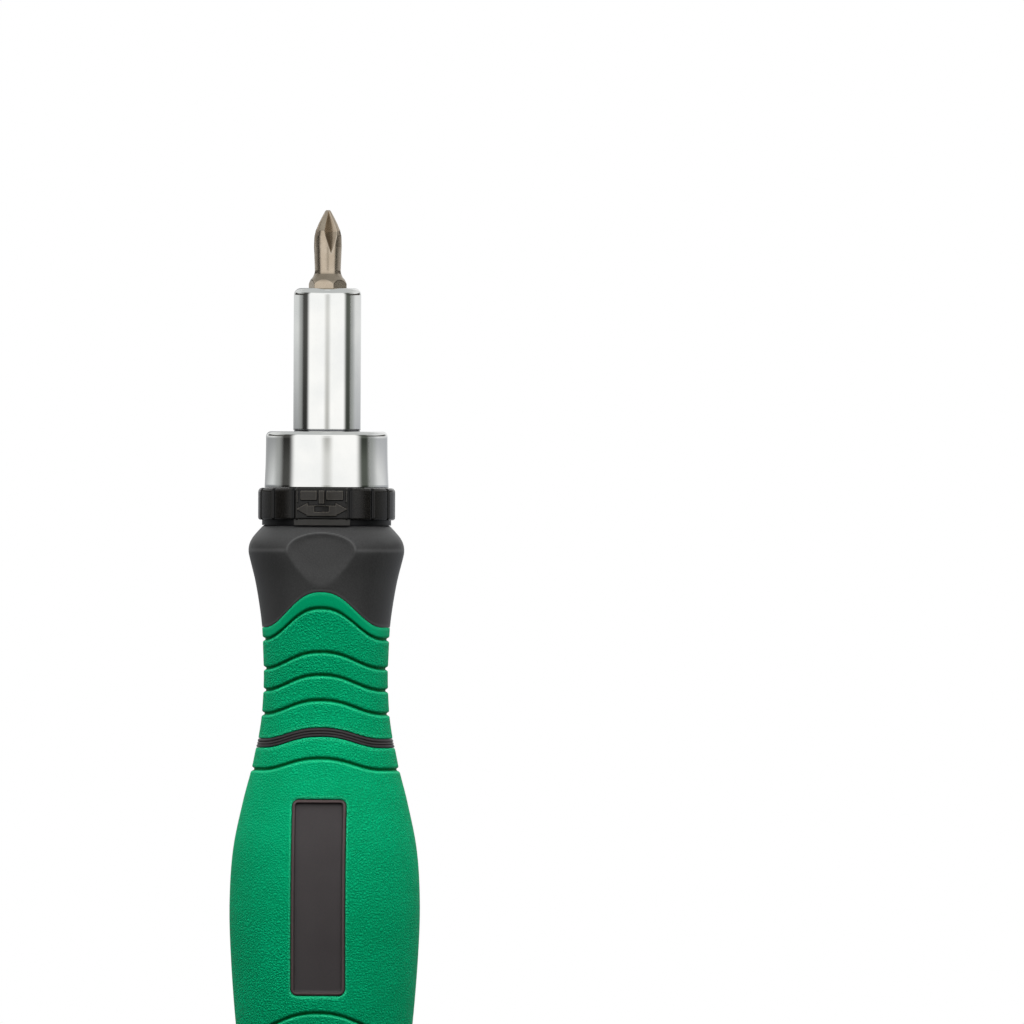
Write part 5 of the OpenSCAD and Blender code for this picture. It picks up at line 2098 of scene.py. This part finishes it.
@dataclass
class Studio:
    """White surroundings, soft boxes, cards that only reflections see, and the camera of the photograph.

    Attributes:
        azimuth: Bearing of the camera from the tool's front in degrees.
        roll: Turn of the camera about its own axis in degrees.
        frame_width: Width of the picture at the tool in millimetres.
        aside: How far the picture's middle lies to the right of the tool.
        eye_z: Height of the picture's middle.
        distance: Distance of the camera.
        sensor: Width of the camera's sensor.
        clip: Nearest and farthest distance that the camera sees, in metres.
        floor_r: Radius of the floor.
        floor_z: Height of the floor.
        floor_speck: Width of the floor's faint specks.
        box_distance: Distance of the soft boxes.
        aim_z: Height on the tool that they face.
        card_distance: Distance of the nearest card.
        card_gap: Distance from each card to the next one out.
        card_step: Greatest angle between a card's points in degrees.
        tone_low: Height up to which a card has its low colour.
        tone_high: Height from which it has its high colour.
        round_steps: Points round the floor and the bowls, for each.
    """
    azimuth: float = 4.0
    roll: float = 0.28
    frame_width: float = 191.4
    aside: float = 34.65
    eye_z: float = 123.75
    distance: float = 5000.0
    sensor: float = 36.0
    clip: tuple[float, float] = (0.05, 20.0)
    floor_r: float = 420.0
    floor_z: float = -0.1
    floor_speck: float = 5.0
    box_distance: float = 950.0
    aim_z: float = 120.0
    card_distance: float = 700.0
    card_gap: float = 8.0
    card_step: float = 6.0
    tone_low: float = 138.0
    tone_high: float = 162.0
    round_steps: tuple[int, int] = (96, 48)

    def around(self, bearing: float, distance: float, height: float) -> Vector:
        """A place at a bearing from the camera's side, positive to the right, in metres."""
        angle = math.radians(self.azimuth + bearing)
        return Vector((math.sin(angle) * distance, -math.cos(angle) * distance, height)) * MM

    def camera(self) -> None:
        """Sets up the camera: level, the tool left of the middle and cropped below as in the photograph."""
        data = bpy.data.cameras.new("photograph camera")
        data.sensor_width = self.sensor
        data.lens = self.sensor * self.distance / self.frame_width
        data.clip_start, data.clip_end = self.clip
        camera = in_scene("photograph camera", data)
        angle = math.radians(self.azimuth)
        right = Vector((math.cos(angle), math.sin(angle), 0.0))
        target = right * self.aside * MM + Vector((0, 0, self.eye_z * MM))
        eye = target + self.around(0.0, self.distance, 0.0)
        facing = (target - eye).to_track_quat("-Z", "Y").to_matrix().to_4x4()
        tilt = Matrix.Rotation(math.radians(self.roll), 4, "Z")
        camera.matrix_world = Matrix.Translation(eye) @ facing @ tilt
        bpy.context.scene.camera = camera

    def soft_box(self, name: str, bearing: float, elevation: float, width: float, height: float,
                 radiance: float) -> None:
        """Adds a soft box that faces the tool.

        Its power is pi times radiance times area.

        Args:
            name: Name of the light.
            bearing: Bearing from the camera in degrees, positive to the right.
            elevation: Height above level in degrees.
            width: Width in millimetres.
            height: Height in millimetres.
            radiance: Brightness of its face, where one is white.
        """
        data = bpy.data.lights.new(name, "AREA")
        data.shape = "RECTANGLE"
        data.size = width * MM
        data.size_y = height * MM
        data.energy = math.pi * radiance * width * height * MM * MM
        light = in_scene(name, data)
        rise = math.radians(elevation)
        place = self.around(bearing, self.box_distance * math.cos(rise),
                            self.box_distance * math.sin(rise) + self.aim_z)
        aim = Vector((0, 0, self.aim_z * MM)) - place
        light.matrix_world = Matrix.Translation(place) @ aim.to_track_quat("-Z", "Y").to_matrix().to_4x4()
        light.visible_camera = False
        light.visible_glossy = False

    def card(self, name: str, distance: float, start: float, end: float, low_code: str, high_code: str,
             soft: float, foot_z: float = -1200.0, head_z: float = 650.0) -> None:
        """Adds a curved card, seen only in reflections: an arc about the tool's axis, between two heights.
        It fades out over its left and right ends, and its colour changes from the flange's height upwards.

        Args:
            name: Name of the card.
            distance: Its distance from the tool's axis in millimetres; no two cards share one.
            start: Bearing of its left edge from the camera in degrees.
            end: Bearing of its right edge.
            low_code: Its colour low down.
            high_code: Its colour high up.
            soft: Width of each fading end in degrees.
            foot_z: Height of its foot in millimetres.
            head_z: Height of its head.
        """
        fine, half = soft / 6, soft / 2
        bearings = np.concatenate([spread(start - half, start + half, fine),
                                   spread(start + half, end - half, self.card_step),
                                   spread(end - half, end + half, fine), [end + half]])
        near_end = np.minimum(bearings - bearings[0], bearings[-1] - bearings)
        shown = smooth_step(near_end / soft)
        foot = [self.around(bearing, distance, foot_z) for bearing in bearings]
        head = [self.around(bearing, distance, head_z) for bearing in bearings]
        self.reflected(name, foot + head, lattice(2, len(bearings), wrap_columns=False), np.tile(shown, 2),
                       low_code, high_code)

    def bowl(self, name: str, code: str, rings: Iterable[tuple[float, float, float]]) -> None:
        """Adds a shallow bowl above or below, seen only in reflections: rings of points about the axis.

        Args:
            name: Name of the bowl.
            code: Its colour.
            rings: Radius, height and how solid it is there, from the open rim to the middle.
        """
        steps = self.round_steps[1]
        radii, heights, shown = np.array(list(rings)).T
        grid = turned_grid(radii[:, None], heights, TURN * np.arange(steps) / steps)
        self.reflected(name, grid.reshape(-1, 3) * MM, lattice(*grid.shape[:2]), np.repeat(shown, steps),
                       code, code)

    def reflected(self, name: str, points: Iterable, quads: np.ndarray, shown: np.ndarray, low_code: str,
                  high_code: str) -> None:
        """Adds a glowing surface that only reflections see.

        Args:
            name: Name of the surface.
            points: Its points in metres.
            quads: Its faces.
            shown: How solid it is at each point.
            low_code: Its colour at the flange's height and below.
            high_code: Its colour at the barrel's mouth and above.
        """
        mesh = bpy.data.meshes.new(name)
        mesh.from_pydata(list(points), [], quads.tolist())
        mesh.attributes.new("shown", "FLOAT", "POINT").data.foreach_set("value", shown.astype(np.float32))
        material = blank_material(name)
        tree = material.node_tree
        where = add(tree, "ShaderNodeTexCoord", out="Object")
        height = add(tree, "ShaderNodeSeparateXYZ", {0: where}, "Z")
        share = add(tree, "ShaderNodeMapRange",
                    {"Value": height, "From Min": self.tone_low * MM, "From Max": self.tone_high * MM},
                    "Result")
        tone = add(tree, "ShaderNodeMix",
                   {MIX_FACTOR: share, MIX_A: linear(low_code), MIX_B: linear(high_code)}, MIX_RESULT,
                   data_type="RGBA")
        solid = add(tree, "ShaderNodeAttribute", out="Fac", attribute_name="shown")
        glow = add(tree, "ShaderNodeEmission", {"Color": tone, "Strength": 1.0}, 0)
        self.finish_clear(material, solid, add(tree, "ShaderNodeBsdfTransparent", out=0), glow)
        mesh.materials.append(material)
        card = in_scene(name, mesh)
        card.visible_camera = card.visible_diffuse = card.visible_shadow = False
        card.visible_transmission = card.visible_volume_scatter = False

    def finish_clear(self, material: bpy.types.Material, share: Socket, first: Socket,
                     second: Socket) -> None:
        """Ends a material that is clear in part: two shaders mixed by a share, as its surface.

        Args:
            material: The material.
            share: Zero where the first shader shows, one where the second does.
            first: The first shader.
            second: The second shader.
        """
        tree = material.node_tree
        mixed = add(tree, "ShaderNodeMixShader", {0: share, 1: first, 2: second}, 0)
        add(tree, "ShaderNodeOutputMaterial", {"Surface": mixed})

    def floor(self) -> None:
        """Adds a round pale floor whose rim fades into the white surroundings, so that only shadow marks it.
        It goes down with the store, on whose cap the tool stands, and from below it is clear.
        """
        steps = self.round_steps[0]
        radii = np.linspace(0.2, 1.0, 9) * self.floor_r
        grid = turned_grid(radii[:, None], np.full(len(radii), self.floor_z), TURN * np.arange(steps) / steps)
        points = np.vstack([grid.reshape(-1, 3), [[0, 0, self.floor_z]]])
        here = np.arange(steps)
        middle = np.stack([here, (here + 1) % steps, np.full(steps, len(points) - 1)], -1)
        mesh = bpy.data.meshes.new("studio floor")
        mesh.from_pydata(points * MM, [], lattice(*grid.shape[:2])[:, ::-1].tolist() + middle.tolist())
        material = blank_material("pale studio floor")
        tree = material.node_tree
        place = add(tree, "ShaderNodeTexCoord", out="Object")
        away = add(tree, "ShaderNodeVectorMath", {0: place}, "Value", operation="LENGTH")
        fade = add(tree, "ShaderNodeMapRange",
                   {"Value": away, "From Min": 0.3 * self.floor_r * MM, "From Max": 0.97 * self.floor_r * MM},
                   "Result")
        from_below = add(tree, "ShaderNodeNewGeometry", out="Backfacing")
        fade = add(tree, "ShaderNodeMath", {0: fade, 1: from_below}, 0, operation="MAXIMUM")
        speck = add(tree, "ShaderNodeTexNoise", {"Vector": place, "Scale": per_metre(self.floor_speck)},
                    "Fac")
        colour = add(tree, "ShaderNodeMix",
                     {MIX_FACTOR: speck, MIX_A: linear("#CCCCCB"), MIX_B: linear("#D0D0CF")}, MIX_RESULT,
                     data_type="RGBA")
        matt = add(tree, "ShaderNodeBsdfDiffuse", {"Color": colour}, 0)
        self.finish_clear(material, fade, matt, add(tree, "ShaderNodeBsdfTransparent", out=0))
        mesh.materials.append(material)
        ground = in_scene("studio_floor", mesh)
        ground.visible_diffuse = ground.visible_glossy = False
        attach(ground, "tail")

    def world(self, below: float, above: float) -> None:
        """White world for the camera, reflections and transmission, and for everything else a softer fill
        that grows from straight below to straight above.

        Args:
            below: Strength of the fill from below.
            above: Strength of the fill from above.
        """
        world = bpy.data.worlds.new("white surroundings")
        bpy.context.scene.world = world
        world.use_nodes = True
        tree = world.node_tree
        tree.nodes.clear()
        towards = add(tree, "ShaderNodeTexCoord", out="Generated")
        upward = add(tree, "ShaderNodeSeparateXYZ", {0: towards}, "Z")
        strength = add(tree, "ShaderNodeMapRange",
                       {"Value": upward, "From Min": -0.5, "From Max": 0.8, "To Min": below, "To Max": above},
                       "Result")
        path = add(tree, "ShaderNodeLightPath")
        for ray in ("Is Camera Ray", "Is Glossy Ray", "Is Transmission Ray"):
            strength = add(tree, "ShaderNodeMath", {0: strength, 1: path.outputs[ray]}, 0,
                           operation="MAXIMUM")
        back = add(tree, "ShaderNodeBackground", {"Color": linear("#FFFFFF"), "Strength": strength}, 0)
        add(tree, "ShaderNodeOutputWorld", {"Surface": back})

    def build(self) -> None:
        """Sets up the whole studio: boxes by bearing, elevation, width, height and radiance, and cards by
        their edges' bearings, two colours, softness and, where it isn't the usual one, foot and head.
        """
        self.camera()
        self.world(0.04, 0.5)
        self.floor()
        boxes = (("left soft box", -30, 44, 800, 700, 1.65),
                 ("right soft box", 34, 42, 700, 700, 1.5),
                 ("overhead soft box", 0, 63, 800, 800, 3.6),
                 ("far left soft box", -104, 16, 500, 700, 1.15),
                 ("far right soft box", 104, 16, 500, 700, 1.15),
                 ("back soft box", 180, 40, 900, 700, 1.6))
        for box in boxes:
            self.soft_box(*box)
        cards = (("left card for the bit", -150, -80, "#403E3B", "#403E3B", 18, 192, 330),
                 ("right card for the bit", 72, 150, "#42403D", "#42403D", 18, 192, 330),
                 ("left dark card", -96, -68, "#262625", "#4A4A48", 15),
                 ("right dark card", 63, 88, "#30342F", "#565A54", 15),
                 ("inner left card", -112, -92, "#8E908F", "#A4A6A5", 20),
                 ("inner right card", 84, 104, "#8C908E", "#A6A8A8", 20),
                 ("far left card", -165, -94, "#8C8E90", "#D6D8D8", 24),
                 ("far right card", 96, 165, "#A8AAAE", "#DEDFE0", 20),
                 ("middle card", -7, 8, "#B0B0AC", "#D8D8D6", 13, -1200, 330),
                 ("back card", 176, 196, "#6A6C6E", "#8A8C8E", 10))
        for number, (name, *shape) in enumerate(cards):
            self.card(name, self.card_distance + number * self.card_gap, *shape)
        above = ((680, 480, 0), (600, 620, 1), (480, 760, 1), (60, 900, 1))
        below = ((900, -40, 0), (900, -330, 0.9), (880, -700, 1), (700, -1100, 1), (60, -1300, 1))
        self.bowl("canopy", "#C0C2C2", above)
        self.bowl("bowl below", "#5C5C5A", below)
        bpy.context.scene.view_settings.view_transform = "Standard"


def hang(piece: bpy.types.Object, body: str, slot: str, *nodes: str) -> None:
    """Hangs a piece on its body and hides the CAD nodes that it stands for.

    Args:
        piece: The piece.
        body: Name of the body that carries it.
        slot: Name of its material slot; not used.
        nodes: Names of the CAD nodes.
    """
    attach(piece, body)
    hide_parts(*nodes)


def main() -> None:
    """Builds every sub-assembly in order, hangs each piece, dresses the kept nodes and notes the sizes."""
    logging.basicConfig(level=logging.INFO, format="%(name)s: %(message)s")
    Studio().build()
    core = core_plastic().build()
    rubber = grip_rubber().build()
    plate = plate_plastic().build()
    satin = bit_steel().build()
    steel = machined_steel().build()
    spring = spring_steel().build()
    form = HandleForm()
    hang(Core(form, core).build(), "handle", "core_plastic", "handle_core")
    grips = Grips(form, rubber)
    hang(grips.upper(), "handle", "grip_rubber", "grip_upper")
    hang(grips.lower(), "handle", "grip_rubber", "grip_lower")
    plates = LabelPlates(form, plate)
    hang(plates.build("front_plate", -1), "handle", "plate_plastic", "label_plate_front")
    hang(plates.build("back_plate", 1), "handle", "plate_plastic", "label_plate_back")
    hang(SelectorRing(ring_plastic().build()).build(), "selector", "ring_plastic", "selector_ring")
    barrel = Barrel(barrel_chrome().build())
    hang(barrel.build(), "drive", "barrel_chrome", "barrel")
    fitted = Bit(Tip.CROSS).surface(barrel.bit_turn, 0.0, barrel.bit_z)
    hang(fitted.piece("fitted_cross_bit", satin, 45), "bit", "bit_steel", "screwdriver_bit")
    store = BitStore(form, core, satin)
    hang(store.cap(), "tail", "core_plastic", "end_cap")
    for node, piece in store.spare_bits().items():
        hang(piece, "tail", "bit_steel", node)
    Works({
        "ratchet_housing": housing_steel().build(), "ratchet_cover": steel,
        "spindle_bush": bush_bronze().build(),
        "pawl_pins": steel, "pawl_springs": spring, "spindle": steel, "ratchet_gear": steel,
        "bit_magnet": magnet_nickel().build(), "thrust_washer": steel, "circlip": spring,
        "selector_cam": steel, "pawl_left": steel, "pawl_right": steel,
        "bit_carrier": carrier_plastic().build(), "cap_oring": seal_rubber().build(),
    }).dress(frame["nodes"])


if __name__ == "__main__":
    main()
